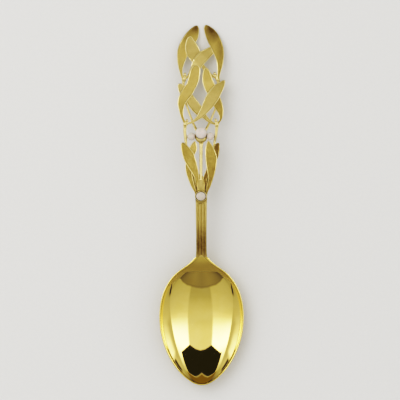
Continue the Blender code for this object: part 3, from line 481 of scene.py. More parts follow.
def gold_polished(name, rough=0.07, hairlines=0.0012, neck=False):
    """Mirror gold with faint hairline scratches and soft stains; the bowl's neck is left rougher and darkened with
    painted shade.
    """
    mat = bpy.data.materials.new(name)
    g = Graph(mat)
    at_mm = g.place()
    rim, hollow = g.attribute("rim"), g.attribute("hollow")
    cloud = g.ramp(g.noise(at_mm, 0.16, 3.0, 0.55), 0.3, 0.7)
    lines = g.noise(at_mm, 2.6, 3.0, 0.6, stretch=(3.5, 0.3, 1.0))
    cross = g.noise(at_mm, 1.9, 3.0, 0.6, stretch=(0.35, 3.0, 1.0))
    face = g.mix(cloud, GOLD["polished"][0], GOLD["polished"][1])
    # painted shade: a dark line round the inside of the rim
    face = g.mix(g.mul(hollow, 0.65), face, HOLLOW_SHADE)
    roughness = g.add(g.ramp(lines, 0.35, 0.75, rough * 0.7, rough * 1.5), g.mul(rim, 0.12))
    if neck:
        split = g.node("ShaderNodeSeparateXYZ")
        g.feed(split.inputs[0], at_mm)
        line = g.table(g.math("ABSOLUTE", g.sub(split.outputs[0], 0.3)),
                       [(0.0, 20.8), (6.6, 20.75), (7.6, 20.2), (9.6, 18.2), (11.2, 17.2), (13.0, 15.9), (15.0, 14.0)])
        # the neck: rougher, and darkened as painted shade
        neck_dull_and_shade = g.mul(g.ramp(g.sub(split.outputs[1], line), -0.16, 0.16), g.sub(1.0, rim))
        face = g.mix(g.mul(neck_dull_and_shade, 0.22), face, SHADE_BROWN)
        roughness = g.add(roughness, g.mul(neck_dull_and_shade, 0.40))
    face = g.mix(g.mul(g.node("ShaderNodeLightPath").outputs["Is Glossy Ray"], 0.7), face, SECOND)
    g.surface(Base_Color=face, Metallic=1.0, Roughness=roughness,
              Normal=g.bump(g.add(lines, g.mul(cross, 0.6)), hairlines * MM))
    return mat


def enamel(name):
    """Opaque warm white enamel, satin, with a fine pitted skin and painted shade at the foot, tinged brownish gold."""
    mat = bpy.data.materials.new(name)
    g = Graph(mat)
    at_mm = g.place()
    skin = g.noise(at_mm, 4.5, 3.0, 0.6)
    cloud = g.ramp(g.noise(at_mm, 0.8, 2.0, 0.5), 0.3, 0.7)
    # painted shade at each berry's foot, tinged with the gold round it
    foot_shade = g.math("MULTIPLY", g.attribute("hollow"), g.ramp(skin, 0.3, 0.7, 0.75, 1.2), clamp=True)
    face = g.mix(cloud, (0.625, 0.555, 0.50), (0.57, 0.50, 0.44))
    face = g.mix(g.ramp(skin, 0.5, 0.8, 0.0, 0.25), face, (0.50, 0.44, 0.385))
    face = g.mix(g.attribute("tone"), face, (0.40, 0.345, 0.255))
    face = g.mix(foot_shade, face, (0.33, 0.27, 0.155))
    g.surface(Base_Color=face, Metallic=0.0, Roughness=g.ramp(skin, 0.3, 0.7, 0.36, 0.5), IOR=1.5,
              Subsurface_Weight=0.12, Subsurface_Scale=0.0005, Normal=g.bump(skin, 0.012 * MM))
    return mat


MATERIALS = {
    "satin": gold_worked("gilt_satin_fine", "satin"),
    "deep": gold_worked("gilt_dark_fine", "deep"),
    "polished": gold_polished("gilt_polished_fine", 0.16, 0.003),
    "mirror": gold_polished("gilt_mirror_fine", 0.035, neck=True),
    "enamel": enamel("enamel_white_fine"),
}


def fine(node, points, faces, finish, sharp=35.0, **attributes):
    """One finished piece standing for CAD node `node`; points in mm."""
    mesh = bpy.data.meshes.new(node + "_fine")
    mesh.from_pydata((np.asarray(points, float) * MM).tolist(), [], [tuple(int(i) for i in f) for f in faces])
    bm = bmesh.new()
    bm.from_mesh(mesh)
    bmesh.ops.recalc_face_normals(bm, faces=bm.faces)
    bm.to_mesh(mesh)
    bm.free()
    mesh.polygons.foreach_set("use_smooth", np.ones(len(mesh.polygons), bool))
    mesh.set_sharp_from_angle(angle=math.radians(sharp))
    for name in ("rim", "tone", "hollow", "steady", "lean"):
        values = np.zeros(len(points)) + attributes.get(name, 0.0)
        mesh.attributes.new(name, "FLOAT", "POINT").data.foreach_set("value", values.astype(np.float32))
    mesh.materials.append(MATERIALS[finish])
    obj = bpy.data.objects.new(node + "_fine", mesh)
    bpy.context.scene.collection.objects.link(obj)
    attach(obj, "root")
    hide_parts(node)
    return obj


def ease(x, lo, hi):
    t = np.clip((np.asarray(x, float) - lo) / (hi - lo), 0, 1)
    return t * t * (3 - 2 * t)


def rings_to_faces(rows, n):
    i, j = np.meshgrid(np.arange(rows - 1), np.arange(n), indexing="ij")
    k = (j + 1) % n
    return np.stack([i * n + j, i * n + k, (i + 1) * n + k, (i + 1) * n + j], -1).reshape(-1, 4).tolist()


def to_path(points, path):
    """Plan distance from each point to a polyline."""
    a, b = path[:-1], path[1:]
    d = b - a
    out = np.full(len(points), 1e9)
    for start in range(0, len(points), 2000):
        p = points[start:start + 2000, None]
        t = np.clip(((p - a) * d).sum(-1) / np.maximum((d * d).sum(-1), 1e-12), 0, 1)
        out[start:start + 2000] = np.sqrt((((a + d * t[..., None]) - p) ** 2).sum(-1)).min(1)
    return out


# ---------------------------------------------------------------------- leaves
LEAF_ROWS, LEAF_TOP = 118, 41
RIM_WIDE, RIM_ROUND = 0.36, 0.10


def shade_of(name, col, row):
    """How much painted shade darkens a leaf, by place on the drawing grid: the tips and tilted parts that reflect less
    light.
    """
    if name == "leaf_top_right_outer":
        return np.maximum(1.02 * ease(row, 48, 29) * (0.58 + 0.45 * ease(col - 0.30 * row, 195, 203)), 0.06 + 0.44 * ease(col, 214, 221))
    if name == "leaf_top_left_outer":
        return 0.95 * ease(row, 42, 26) + 0.35 * ease(row, 46, 38) * ease(col, 190, 184) + 0.04
    if name == "leaf_mid_left_outer":
        return 0.13 + 0.30 * ease(row, 94, 110) + 0.12 * ease(row, 110, 120)
    if name == "leaf_mid_right_outer":
        return 0.13 + 0.42 * ease(row, 90, 106)
    if name == "leaf_mid_left_inner":
        return 0.22 + 0.14 * ease(row, 98, 84) - 0.14 * ease(row, 106, 116)
    if name == "leaf_mid_right_inner":
        return 0.08 + 0.18 * ease(row, 96, 110)
    if name == "leaf_top_right_inner":
        return 0.12 + 0.0 * row
    if name == "leaf_low_left_front":
        return 0.48 + 0.14 * ease(col, 190, 182) * ease(row, 140, 152)
    if name == "leaf_low_left_back":
        return 0.26 + 0.33 * ease(row, 152, 172)
    if name == "leaf_low_right_front":
        return 0.50 + 0.24 * ease(row, 152, 172)
    if name == "leaf_low_right_back":
        return 0.98 + 0.0 * row
    return 0.0 * row


# leaf bases carried on under the solder, where they sink into the sheath: (left, right, sink in layers)
BASES = {
    "leaf_low_left_front": ([(195.9, 187.5), (195.2, 184)], [(198.6, 187.5), (199, 184)], -0.7),
    "leaf_low_right_back": ([(202.9, 187.5), (202.4, 184)], [(205.4, 187.5), (206.1, 184)], -0.6),
    "leaf_low_left_back": ([(195.5, 198.5), (194.9, 195.5)], [(197.0, 198.5), (196.6, 195.5)], -0.25),
    "leaf_low_right_front": ([(204.4, 198.5), (204.9, 195.5)], [(206.0, 198.5), (206.6, 195.5)], -0.25),
}


def leaf(name, left, right, lifts_l, lifts_r, finish):
    if name in BASES:
        more_l, more_r, sink = BASES[name]
        added = [np.linalg.norm(np.diff(np.array(more + e[:1], float), axis=0), axis=1).sum() for more, e in ((more_l, left), (more_r, right))]
        whole = [np.linalg.norm(np.diff(np.array(e, float), axis=0), axis=1).sum() for e in (left, right)]
        first = sum(added) / (sum(added) + sum(whole))
        left, right = more_l + left, more_r + right
        lifts_l, lifts_r = ([(0, sink)] + [(first + (1 - first) * u, v) for u, v in table] for table in (lifts_l, lifts_r))
    edges = [curve(at(*np.array(e, float).T)) for e in (left, right)]
    lifts = [profile(l) for l in (lifts_l, lifts_r)]
    k = np.linspace(0, 1, LEAF_ROWS)
    t = 0.9990 * (0.35 * k + 0.65 * (1 - (1 - k) ** 1.7))
    a, b = (e(t) for e in edges)
    half = np.linalg.norm(b - a, axis=1) / 2
    widest = int(np.argmax(half))
    room = np.where(np.arange(LEAF_ROWS) < widest, half, half[widest])
    size = np.clip(room / 1.1, 0.3, 1.0)[:, None]
    ends = np.linspace(0, 1, 500)
    outline = np.vstack([edges[0](ends), edges[1](ends)[::-1]])
    za, zb = (l(t) * LAYER for l in lifts)

    s = np.sin(np.linspace(-1, 1, LEAF_TOP) * math.pi / 2)
    share = (s + 1) / 2
    top = a[:, None] + (b - a)[:, None] * share[None, :, None]
    edge = to_path(top.reshape(-1, 2), outline).reshape(top.shape[:2])
    edge[:, 0] = edge[:, -1] = 0.0
    wide, deep, round_up = RIM_WIDE * size, FIELD_DEEP * size, RIM_ROUND * np.clip(size, 0.6, 1)
    across = np.clip(edge / wide, 0, 1) * 2 - 1
    ridge = -round_up * (1 - np.sqrt(np.maximum(1 - across ** 2, 0)))
    slope = ease(edge, wide * 0.9, wide + 0.16 * size)
    reach = np.maximum(edge.max(1, keepdims=True) - wide, 0.05)
    dome = FIELD_DOME * (1 - (1 - np.clip((edge - wide) / reach, 0, 1)) ** 2)
    relief = np.where(edge < wide, ridge, -round_up)
    relief = relief * (1 - slope) + (-deep + dome) * slope
    low = back(top[..., 1]) + za[:, None] + (zb - za)[:, None] * share[None]
    z_top = low + LEAF_T + relief

    under = np.array([1.0, 0.94, 0.5, 0.0, -0.5, -0.94, -1.0])
    lift = np.array([0.14, 0, 0, 0, 0, 0, 0.14])
    ushare = (under + 1) / 2
    bottom = a[:, None] + (b - a)[:, None] * ushare[None, :, None]
    z_bottom = back(bottom[..., 1]) + za[:, None] + (zb - za)[:, None] * ushare[None] + lift
    z_bottom = np.maximum(z_bottom, 0.0 + lift * 0.5)

    ring = np.concatenate([np.concatenate([top, z_top[..., None]], -1),
                           np.concatenate([bottom, z_bottom[..., None]], -1)], 1)
    n = ring.shape[1]
    points = ring.reshape(-1, 3)
    faces = rings_to_faces(LEAF_ROWS, n)
    faces.append(tuple(range(n)))
    last = (LEAF_ROWS - 1) * n
    faces.append(tuple(range(last, last + n)))

    def spread(values, base):
        return np.concatenate([values, np.full((LEAF_ROWS, len(under)), base)], 1).reshape(-1)

    # painted highlight on each rim's crest; painted shade along the inside of the rim and over the leaf's shaded parts
    crest = 1 - ease(edge, wide * 0.78, wide * 1.15)
    hollow = ease(edge, wide * 0.85, wide * 1.1) * (1 - ease(edge, wide * 1.15, wide * 1.15 + 0.3))
    col, row = top[..., 0] / GRID + COL_MID, ROW_ZERO - top[..., 1] / GRID
    lean = (back(points[:, 1] + 0.5) - back(points[:, 1] - 0.5)) / 1.0
    return fine(name, points, faces, finish, rim=spread(crest, 0.25), hollow=spread(0.5 * hollow, 0.0),
                tone=spread(shade_of(name, col, row), 0.1), steady=spread(0.6 * (1 - crest), 0.0), lean=lean)


# ----------------------------------------------------------------------- twigs


def twig(name, stations, finish="satin", n=24):
    rows = np.array(stations, float)
    path = curve(np.column_stack([at(rows[:, 0], rows[:, 1]), rows[:, 2:]]))
    count = 72
    t = np.linspace(0, 1, count)
    mid, ahead, behind = path(t), path(np.minimum(1, t + 0.004)), path(np.maximum(0, t - 0.004))
    along = (ahead - behind)[:, :2]
    across = np.stack([-along[:, 1], along[:, 0]], -1) / np.linalg.norm(along, axis=1)[:, None]
    angle = 2 * math.pi * (np.arange(n) + 0.5) / n
    side = np.sign(np.cos(angle)) * np.abs(np.cos(angle)) ** 0.8
    up = 0.5 + 0.5 * np.sign(np.sin(angle)) * np.abs(np.sin(angle)) ** 0.8
    xy = mid[:, None, :2] + across[:, None] * (side[None, :, None] * (mid[:, 2] * GRID / 2)[:, None, None])
    z = back(xy[..., 1]) + mid[:, 3:4] + mid[:, 4:5] * up[None]
    points = np.concatenate([xy, z[..., None]], -1).reshape(-1, 3)
    faces = rings_to_faces(count, n) + [tuple(range(n)), tuple(range((count - 1) * n, count * n))]
    # painted highlight along each twig's top, painted shade along its underside
    crest = np.tile(ease(up, 0.8, 1.0), count) * 0.35
    low = np.tile(ease(up, 0.6, 0.35), count) * 0.5
    return fine(name, points, faces, finish, rim=crest, hollow=low, tone=0.12 + low * 0.3)


# ---------------------------------------------------------------- round pieces


def turned(node, place, shape, finish, n=96, height=0.0, **attributes):
    """(radius share, height) points, centre to centre, turned about the drawing's upright."""
    col, row, rx, ry = place
    x, y = at(col, row)
    slope = math.atan((back(y + 1) - back(y - 1)) / 2)
    shape = np.array(shape, float)
    angle = 2 * math.pi * np.arange(n) / n
    r, z = shape[1:-1, 0][:, None], shape[1:-1, 1][:, None]
    px = r * rx * GRID * np.cos(angle)[None]
    py = r * ry * GRID * np.sin(angle)[None]
    pz = z + 0 * px
    body = np.stack([px, py, pz], -1).reshape(-1, 3)
    points = np.vstack([[0, 0, shape[0, 1]], body, [0, 0, shape[-1, 1]]])
    rings, faces = len(shape) - 2, []
    for i in range(rings - 1):
        for j in range(n):
            k = (j + 1) % n
            faces.append((1 + i * n + j, 1 + i * n + k, 1 + (i + 1) * n + k, 1 + (i + 1) * n + j))
    end = len(points) - 1
    for j in range(n):
        k = (j + 1) % n
        faces.append((0, 1 + k, 1 + j))
        faces.append((end, 1 + (rings - 1) * n + j, 1 + (rings - 1) * n + k))
    values = {}
    for key, value in attributes.items():
        values[key] = np.concatenate([[value[0]], np.repeat(value[1:-1], n), [value[-1]]]) if np.ndim(value) else value
    c, s = math.cos(slope), math.sin(slope)
    placed = np.stack([points[:, 0] + x, points[:, 1] * c - points[:, 2] * s + y,
                       points[:, 1] * s + points[:, 2] * c + float(back(y)) + height], -1)
    return fine(node, placed, faces, finish, **values)


def ball(bottom, belly, top, steps=34):
    """A ball with a small flat underneath, widest at `belly`."""
    foot = math.pi / 2 - math.asin(0.62)
    a = -foot + (math.pi / 2 + foot) * np.arange(steps) / steps
    z = np.where(a > 0, belly + np.sin(a) * (top - belly), belly + np.sin(a) * (belly - bottom) / math.sin(foot))
    return np.vstack([[[0, bottom]], np.stack([np.cos(a), z], -1), [[0, top]]])


# ------------------------------------------------------------------------ bowl
# the inner outline where the bowl opens out of the stem: (row, half-width)
INNER_NECK = [(254.9, 0.0), (256.6, 2.75), (258.1, 4.3), (260, 6.0), (262, 8.0), (264, 10.6), (266, 13.6), (268, 16.8), (271.5, 22.0)]
LIP, BEAD = 0.6, 0.18


def bowl_design():
    rows = np.array(BOWL_OUTLINE, float)
    y_knots, full = (ROW_ZERO - rows[:, 0]) * GRID, rows[:, 1].max() * GRID
    half2 = profile(list(zip(y_knots, (rows[:, 1] * GRID) ** 2)))
    tip, neck = y_knots.min(), y_knots.max()
    y = np.linspace(tip, neck, 4001)
    w = np.sqrt(np.maximum(natural(list(zip(y_knots, (rows[:, 1] * GRID) ** 2)))(y), 0))
    dy, dw = np.gradient(y), np.gradient(w)
    length = np.hypot(dy, dw)
    in_y, in_w = y + LIP * dw / length, w - LIP * dy / length
    order = np.argsort(in_y)
    knots = [((ROW_ZERO - r) * GRID, (h * GRID) ** 2) for r, h in INNER_NECK]
    for r in (277, 285, 294, 305, 315.5, 328, 340, 351, 361, 369.5, 376, 380):
        q = (ROW_ZERO - r) * GRID
        knots.append((q, float(np.interp(q, in_y[order], in_w[order])) ** 2))
    knots.append((tip + LIP, 0.0))
    ys = np.linspace(min(k[0] for k in knots), max(k[0] for k in knots), 1601)
    w2 = evened(ys, natural(knots)(ys), 0.7)
    rim = evened(ys, natural(RIM_LINE)(ys), 2.0)

    def inner2(yv):
        return np.interp(yv, ys, w2)

    def rim_at(yv):
        return np.interp(yv, ys, rim, left=None, right=None)

    return half2, inner2, rim_at, tip, neck, full, ys, w2


def bowl():
    half2, inner2, rim_at, tip, neck, full, ys, w2 = bowl_design()
    # outer outline, right side from the neck to the tip, then back up the left
    a = np.linspace(0, math.pi, 3001)[:-1]
    y = tip + (neck - tip) * (0.5 + 0.5 * np.cos(a))
    x = np.sqrt(np.maximum(half2(y), 0))
    side = np.column_stack([x, y])
    side = np.vstack([side, [[0, tip]]])
    half_neck = side[0, 0]
    cut = np.column_stack([np.linspace(-half_neck, half_neck, 200)[1:-1], np.full(198, neck)])
    loop = np.vstack([side, side[-2::-1] * [-1, 1], cut])
    closed = np.vstack([loop, loop[:1]])
    s = np.concatenate([[0], np.cumsum(np.linalg.norm(np.diff(closed, axis=0), axis=1))])
    count = 520
    corner = [0.0, s[len(side) + len(side) - 2]]  # the two corners of the neck are kept
    want = np.sort(np.concatenate([np.linspace(0, s[-1], count, endpoint=False), corner[1:]]))
    outer = np.column_stack([np.interp(want, s, closed[:, i]) for i in (0, 1)])
    count = len(outer)
    # inner outline
    yy = ys[(ys <= neck)]
    ww = np.sqrt(np.maximum(np.interp(yy, ys, w2), 0))
    keep = np.flatnonzero(np.interp(yy, ys, w2) > 0)
    yy, ww = yy[keep], ww[keep]
    low_end = np.array([[0.0, yy[0] - 0.01]])
    right = np.column_stack([ww, yy])
    mouth = np.column_stack([np.linspace(ww[-1], -ww[-1], 60)[1:-1], np.full(58, yy[-1])])
    ring = np.vstack([low_end, right, mouth, right[::-1] * [-1, 1], low_end])
    a0, b0 = ring[:-1], ring[1:]
    d0 = b0 - a0
    p = outer[:, None]
    t = np.clip(((p - a0) * d0).sum(-1) / np.maximum((d0 * d0).sum(-1), 1e-12), 0, 1)
    near = a0 + d0 * t[..., None]
    best = np.argmin(((near - p) ** 2).sum(-1), 1)
    inner = near[np.arange(count), best]
    centre = np.array([0.0, 0.5])
    gap = np.linalg.norm(outer - inner, axis=1)
    inner = np.where(gap[:, None] < 0.02, outer + (centre - outer) / np.linalg.norm(centre - outer, axis=1)[:, None] * 0.02, inner)
    gap = np.maximum(gap, 0.02)

    rings, rim_v, hollow_v = [], [], []
    # inside, from the middle out
    k = np.linspace(0, 1, 97)[1:]
    r = 0.3 * k + 0.7 * (1 - (1 - k) ** 1.9)
    for share in r:
        q = centre + (inner - centre) * share
        g = np.maximum(inner2(q[:, 1]) - q[:, 0] ** 2, 0)
        if share == r[-1]:
            g = g * 0
        z = rim_at(q[:, 1]) - BEAD - (BOWL_DEPTH - BEAD) * (g / full ** 2) ** (BOWL_POWER / 2)
        rings.append(np.column_stack([q, z]))
        rim_v.append(0.0)
        # painted shade: a dark line where the inside meets the bead
        hollow_v.append(0.35 * float(ease(share, 0.995, 1.0)))
    # the bead
    for v in (1 - np.cos(np.linspace(0, math.pi, 15)))[1:] / 2:
        q = inner + (outer - inner) * v
        up = BEAD * np.minimum(1, gap / 0.35) * np.sqrt(max(1 - (2 * v - 1) ** 2, 0))
        rings.append(np.column_stack([q, rim_at(q[:, 1]) - BEAD + up]))
        rim_v.append(0.8)
        hollow_v.append(0.0)
    # the band, then the back
    inward = (centre - outer) / np.linalg.norm(centre - outer, axis=1)[:, None]

    def under(q, g):
        top = rim_at(q[:, 1]) - BOWL_BAND - 0.75 * np.maximum(0, (q[:, 1] - 14) / 14) ** 2
        return np.maximum(0, top - BOWL_BACK * (np.maximum(g, 0) / full ** 2) ** (BOWL_POWER / 2))

    at_cut = np.abs(outer[:, 1] - neck) < 1e-6
    foot = under(outer, np.where(at_cut, half2(outer[:, 1]) - outer[:, 0] ** 2, 0))
    start = rings[-1][:, 2]
    for v in np.linspace(0, 1, 7)[1:]:
        rings.append(np.column_stack([outer, start + (foot - start) * v]))
        rim_v.append(0.35)
        hollow_v.append(0.0)
    k = np.linspace(0, 1, 61)[1:-1]
    for share in (1 - (0.3 * k + 0.7 * k ** 1.9)):
        q = centre + (outer - centre) * share
        g = half2(q[:, 1]) - q[:, 0] ** 2
        rings.append(np.column_stack([q, under(q, g)]))
        rim_v.append(0.0)
        hollow_v.append(0.0)
    points = np.vstack(rings)
    faces = rings_to_faces(len(rings), count)
    first, last = len(points), len(points) + 1
    g = float(inner2(centre[1]))
    z0 = float(rim_at(centre[1])) - BEAD - (BOWL_DEPTH - BEAD) * (g / full ** 2) ** (BOWL_POWER / 2)
    points = np.vstack([points, [[*centre, z0]], [[*centre, 0.0]]])
    base = (len(rings) - 1) * count
    for j in range(count):
        faces.append((first, (j + 1) % count, j))
        faces.append((last, base + j, base + (j + 1) % count))
    rim_all = np.concatenate([np.repeat(rim_v, count), [0, 0]])
    hollow_all = np.concatenate([np.repeat(hollow_v, count), [0, 0]])
    return fine("bowl", points, faces, "mirror", sharp=50, rim=rim_all, hollow=hollow_all)


# ------------------------------------------------------------- stem and sheath


def stem():
    y0, y1 = float(at(COL_STEM, 257.0)[1]), float(at(COL_STEM, 202.6)[1])
    xc = float(at(COL_STEM, 0)[0])
    width = profile([(float(at(0, row)[1]), half) for row, half in STEM_WIDE])
    y = np.unique(np.concatenate([np.linspace(y0, y0 + 1.9, 30), np.linspace(y0 + 1.9, y1 - 1.6, 70), np.linspace(y1 - 1.6, y1, 22)]))
    s = np.unique(np.concatenate([np.linspace(-1, 1, 121), [-0.985, 0.985, -0.97, 0.97]]))
    # reeds: rounded between three grooves, with a flat band along each edge
    groove = np.zeros(len(s))
    for c, wide, depth in ((-0.56, 0.10, REED_DEEP), (0.0, 0.085, REED_DEEP * 0.85), (0.56, 0.10, REED_DEEP)):
        groove = np.maximum(groove, depth * np.exp(-((s - c) / wide) ** 2))
    reed = 0.07 * np.where(np.abs(s) < 0.56, np.abs(np.sin(s / 0.56 * math.pi)) ** 0.7 - 1, 0)
    edge = -0.14 * ease(np.abs(s), 0.90, 1.0) ** 1.5
    fade = np.clip(np.minimum((y1 - 0.5 - y) / 0.9, (y - y0 - 0.3) / 1.0), 0, 1)[:, None]
    top = back(y)[:, None] + STEM_T - groove[None] * (0.35 + 0.65 * ease(fade, 0, 1)) + reed[None] * fade + edge[None]
    # the bowl's pointed arch runs up into the stem's end
    row = ROW_ZERO - y / GRID
    arch = 2.75 * np.sqrt(np.clip((row - 254.6) / 2.0, 0, None)) * GRID
    half = width(y)[:, None]
    in_arch = ease(arch[:, None] - np.abs(s)[None] * half, -0.02, 0.22)
    scoop = (rim_height(y) - 0.26)[:, None]
    top = np.where(in_arch > 0, np.minimum(top, top * (1 - in_arch) + scoop * in_arch), top)
    # a cross slot under the collet
    top = top - 0.25 * (np.exp(-((row - 203.9) / 0.55) ** 2)[:, None] * ease(np.abs(s), 0.52, 0.40)[None])
    under = np.array([1.0, 0.92, 0.5, 0.0, -0.5, -0.92, -1.0])
    lift = np.array([0.35, 0.0, 0, 0, 0, 0.0, 0.35])
    rows = []
    for i, yv in enumerate(y):
        t = np.column_stack([xc + s * half[i], np.full(len(s), yv), top[i]])
        b = np.column_stack([xc + under * (half[i] - 0.02), np.full(7, yv), float(back(yv)) + lift])
        rows.append(np.vstack([t, b]))
    n = len(rows[0])
    points = np.vstack(rows)
    faces = rings_to_faces(len(rows), n) + [tuple(range(n)), tuple(range((len(rows) - 1) * n, len(rows) * n))]
    # painted shade darkening the stem towards the bowl and in its grooves; painted highlight on its rounded edges
    low = ease(row, 217, 243)[:, None]
    crest = np.clip(0.05 + 0.35 * ease(np.abs(s), 0.84, 0.94) - 3.0 * groove, 0, 1)[None] * (1 - 0.45 * low)
    deep = np.clip(groove / REED_DEEP, 0, 1)[None] * np.ones(len(y))[:, None]
    tone = 0.32 + 0.68 * low * (1 - 0.4 * ease(row, 249, 256)[:, None]) * (0.85 + 0.15 * np.clip(groove / REED_DEEP, 0, 1))[None] * (1 - in_arch)

    def spread(v, base):
        return np.concatenate([v, np.full((len(y), 7), base)], 1).reshape(-1)

    return fine("stem", points, faces, "satin", rim=spread(crest, 0.1), hollow=spread(0.5 * deep * (1 - in_arch), 0.0),
                tone=spread(tone, 0.2))


def sheath():
    xc = float(at(COL_STEM, 0)[0])

    def dense(table, count):
        rows = np.array(table, float)
        y = np.linspace(rows[0, 0], rows[-1, 0], count)
        return np.column_stack([y] + [profile(list(zip(rows[:, 0], rows[:, i])))(y) for i in range(1, rows.shape[1])])

    def loft(name, rows, section):
        rings = [[(xc + (centre + q * half) * GRID, float(at(0, r)[1]), float(back(at(0, r)[1])) + z) for q, z in section(*rest)]
                 for r, centre, half, *rest in rows]
        n = len(rings[0])
        points = [p for ring in rings for p in ring]
        faces = rings_to_faces(len(rings), n) + [tuple(range(n)), tuple(range((len(rings) - 1) * n, len(rings) * n))]
        mesh = bpy.data.meshes.new(name)
        mesh.from_pydata((np.array(points) * MM).tolist(), [], [tuple(f) for f in faces])
        bm = bmesh.new()
        bm.from_mesh(mesh)
        bmesh.ops.recalc_face_normals(bm, faces=bm.faces)
        bm.to_mesh(mesh)
        bm.free()
        obj = bpy.data.objects.new(name, mesh)
        bpy.context.scene.collection.objects.link(obj)
        return obj

    def body_section(thick):
        q = np.linspace(-1, 1, 61)
        crown = thick - min(0.42, 0.5 * thick) * (1 - np.sqrt(np.maximum(1 - np.abs(q) ** 5, 0)))
        return list(zip(q, crown)) + [(1, -0.02 + 0.2 * thick), (0.94, -0.06), (-0.94, -0.06), (-1, -0.02 + 0.2 * thick)]

    blend = [(174.6, -0.6, 1.6, 0.15), (176.2, -0.4, 2.0, 0.55), (178.2, -0.2, 2.4, 0.80), (180.6, -0.2, 3.1, 0.92),
             (183, -0.3, 3.9, 1.05), (185.5, -0.35, 4.45, 1.2)]
    body = loft("sheath_body", dense(blend + SHEATH[3:], 90), body_section)
    web = loft("sheath_web", dense(WEB, 24), lambda: ((-1, WEB_BOTTOM), (-1, WEB_TOP), (1, WEB_TOP), (1, WEB_BOTTOM)))
    core = loft("sheath_core", [(182, 0.0, 3.0), (188, 0.0, 3.0), (196, 0.0, 3.0)],
                lambda: ((-1, WEB_TOP - 0.2), (-1, 0.5), (1, 0.5), (1, WEB_TOP - 0.2)))
    strip = loft("sheath_strip", [(172.2, -8.4, 0.7), (174.5, -7.6, 1.5), (178, -6.8, 2.2), (182, -6.0, 2.6)],
                 lambda: ((-1, WEB_BOTTOM), (-1, 0.1), (1, 0.1), (1, WEB_BOTTOM)))
    tools = [web, core, strip]
    for sign, line in ((-1, [(178, 7.3), (180.5, 6.9), (184, 6.1), (188, 5.1), (191, 4.6)]),
                       (1, [(179, 6.9), (181.5, 6.5), (184.5, 5.9), (188, 5.0), (191, 4.4)])):
        rows = [(r, sign * c, 0.36, 0.75 * math.sin(math.pi * (0.10 + 0.72 * u)))
                for (r, c), u in zip(dense(line, 24), np.linspace(0, 1, 24))]
        tools.append(loft("sheath_ridge_" + ("l" if sign < 0 else "r"), rows,
                          lambda up: [(-1, WEB_TOP - 0.15), (-1, up - 0.14), (-0.6, up), (0.6, up), (1, up - 0.14), (1, WEB_TOP - 0.15)]))
    for tool in tools:
        join = body.modifiers.new(tool.name, "BOOLEAN")
        join.operation, join.solver, join.object = "UNION", "EXACT", tool
    bpy.context.view_layer.update()
    done = bpy.data.meshes.new_from_object(body.evaluated_get(bpy.context.evaluated_depsgraph_get()))
    points = np.array([v.co for v in done.vertices], float) / MM
    faces = [tuple(p.vertices) for p in done.polygons]
    for obj in [body] + tools:
        bpy.data.objects.remove(obj)
    high = points[:, 2] - back(points[:, 1])
    # painted shade on the low web and slits and on the raised body; a little painted highlight on the body's top
    low = ease(high, 0.5, 0.0) * ease(high, -0.45, -0.1)
    shade = 0.50 * ease(high, 0.3, 0.7) + 0.12 * ease(points[:, 1], float(at(0, 188)[1]), float(at(0, 194)[1]))
    # painted shadow: the collet's shadow darkens the sheath round its foot
    foot_col, foot_row, foot_rx, foot_ry = FOOT_COLLET
    x, y = at(foot_col, foot_row)
    away = np.hypot((points[:, 0] - x) / (foot_rx * GRID), (points[:, 1] - y) / (foot_ry * GRID))
    foot_shade = ease(away, 1.28, 1.02) * ease(high, 0.3, 0.7)
    # a painted highlight runs on down the middle, carrying on the twig's bright back
    spine_highlight = np.exp(-((points[:, 0] - xc) / (1.5 * GRID)) ** 2) * ease(points[:, 1], float(at(0, 191)[1]), float(at(0, 179)[1])) * ease(high, 0.3, 0.6)
    return fine("sheath", points, faces, "satin", sharp=40, rim=np.maximum(0.12 * ease(high, 1.0, 1.3), 0.24 * spine_highlight) * (1 - foot_shade),
                hollow=np.maximum(low, foot_shade), tone=np.maximum(np.maximum(0.55 * low, shade * (1 - 0.4 * spine_highlight)), 0.55 * foot_shade))


# --------------------------------------------------------------- build it all
bowl()
stem()
sheath()

for leaf_name, (edge_l, edge_r, up_l, up_r) in LEAVES.items():
    # the outer and lower leaves take the darker gold as painted shade
    shaded_leaf = "outer" in leaf_name or "low" in leaf_name
    leaf(leaf_name, edge_l, edge_r, up_l, up_r, "deep" if shaded_leaf else "satin")

FORKS = {  # further stations up each fork, where solder carries the twig to its bud
    "twig_top_left": [(185.0, 75.5, 1.7, 0.0, 0.85), (184.9, 77.2, 3.7, -0.1, 0.95)],
    "twig_top_right": [(214.9, 75.0, 1.7, 0.0, 0.85), (216.0, 76.1, 2.4, 0.0, 0.9), (217.4, 78.2, 3.4, -0.2, 0.95)],
    "twig_side_left": [(187.0, 122.0, 1.7, 0.1, 0.85), (186.1, 123.6, 4.0, 0.0, 1.0)],
    "twig_side_right": [(215.5, 121.8, 1.7, 0.1, 0.85), (216.3, 123.6, 3.5, 0.0, 1.0)],
}
FORKS["twig_centre"] = [(200.9, 142.7, 4.4, 0.0, 0.9)]
for twig_name, twig_rows in TWIGS.items():
    tail = []
    if twig_name.startswith("twig_top"):  # on under the big berry
        (c0, r0), (c1, r1) = twig_rows[-2][:2], twig_rows[-1][:2]
        step = 1.9 / math.hypot(c1 - c0, r1 - r0)
        tail = [(c1 + (c1 - c0) * step, r1 + (r1 - r0) * step) + tuple(twig_rows[-1][2:])]
    twig(twig_name, FORKS.get(twig_name, []) + twig_rows + tail)


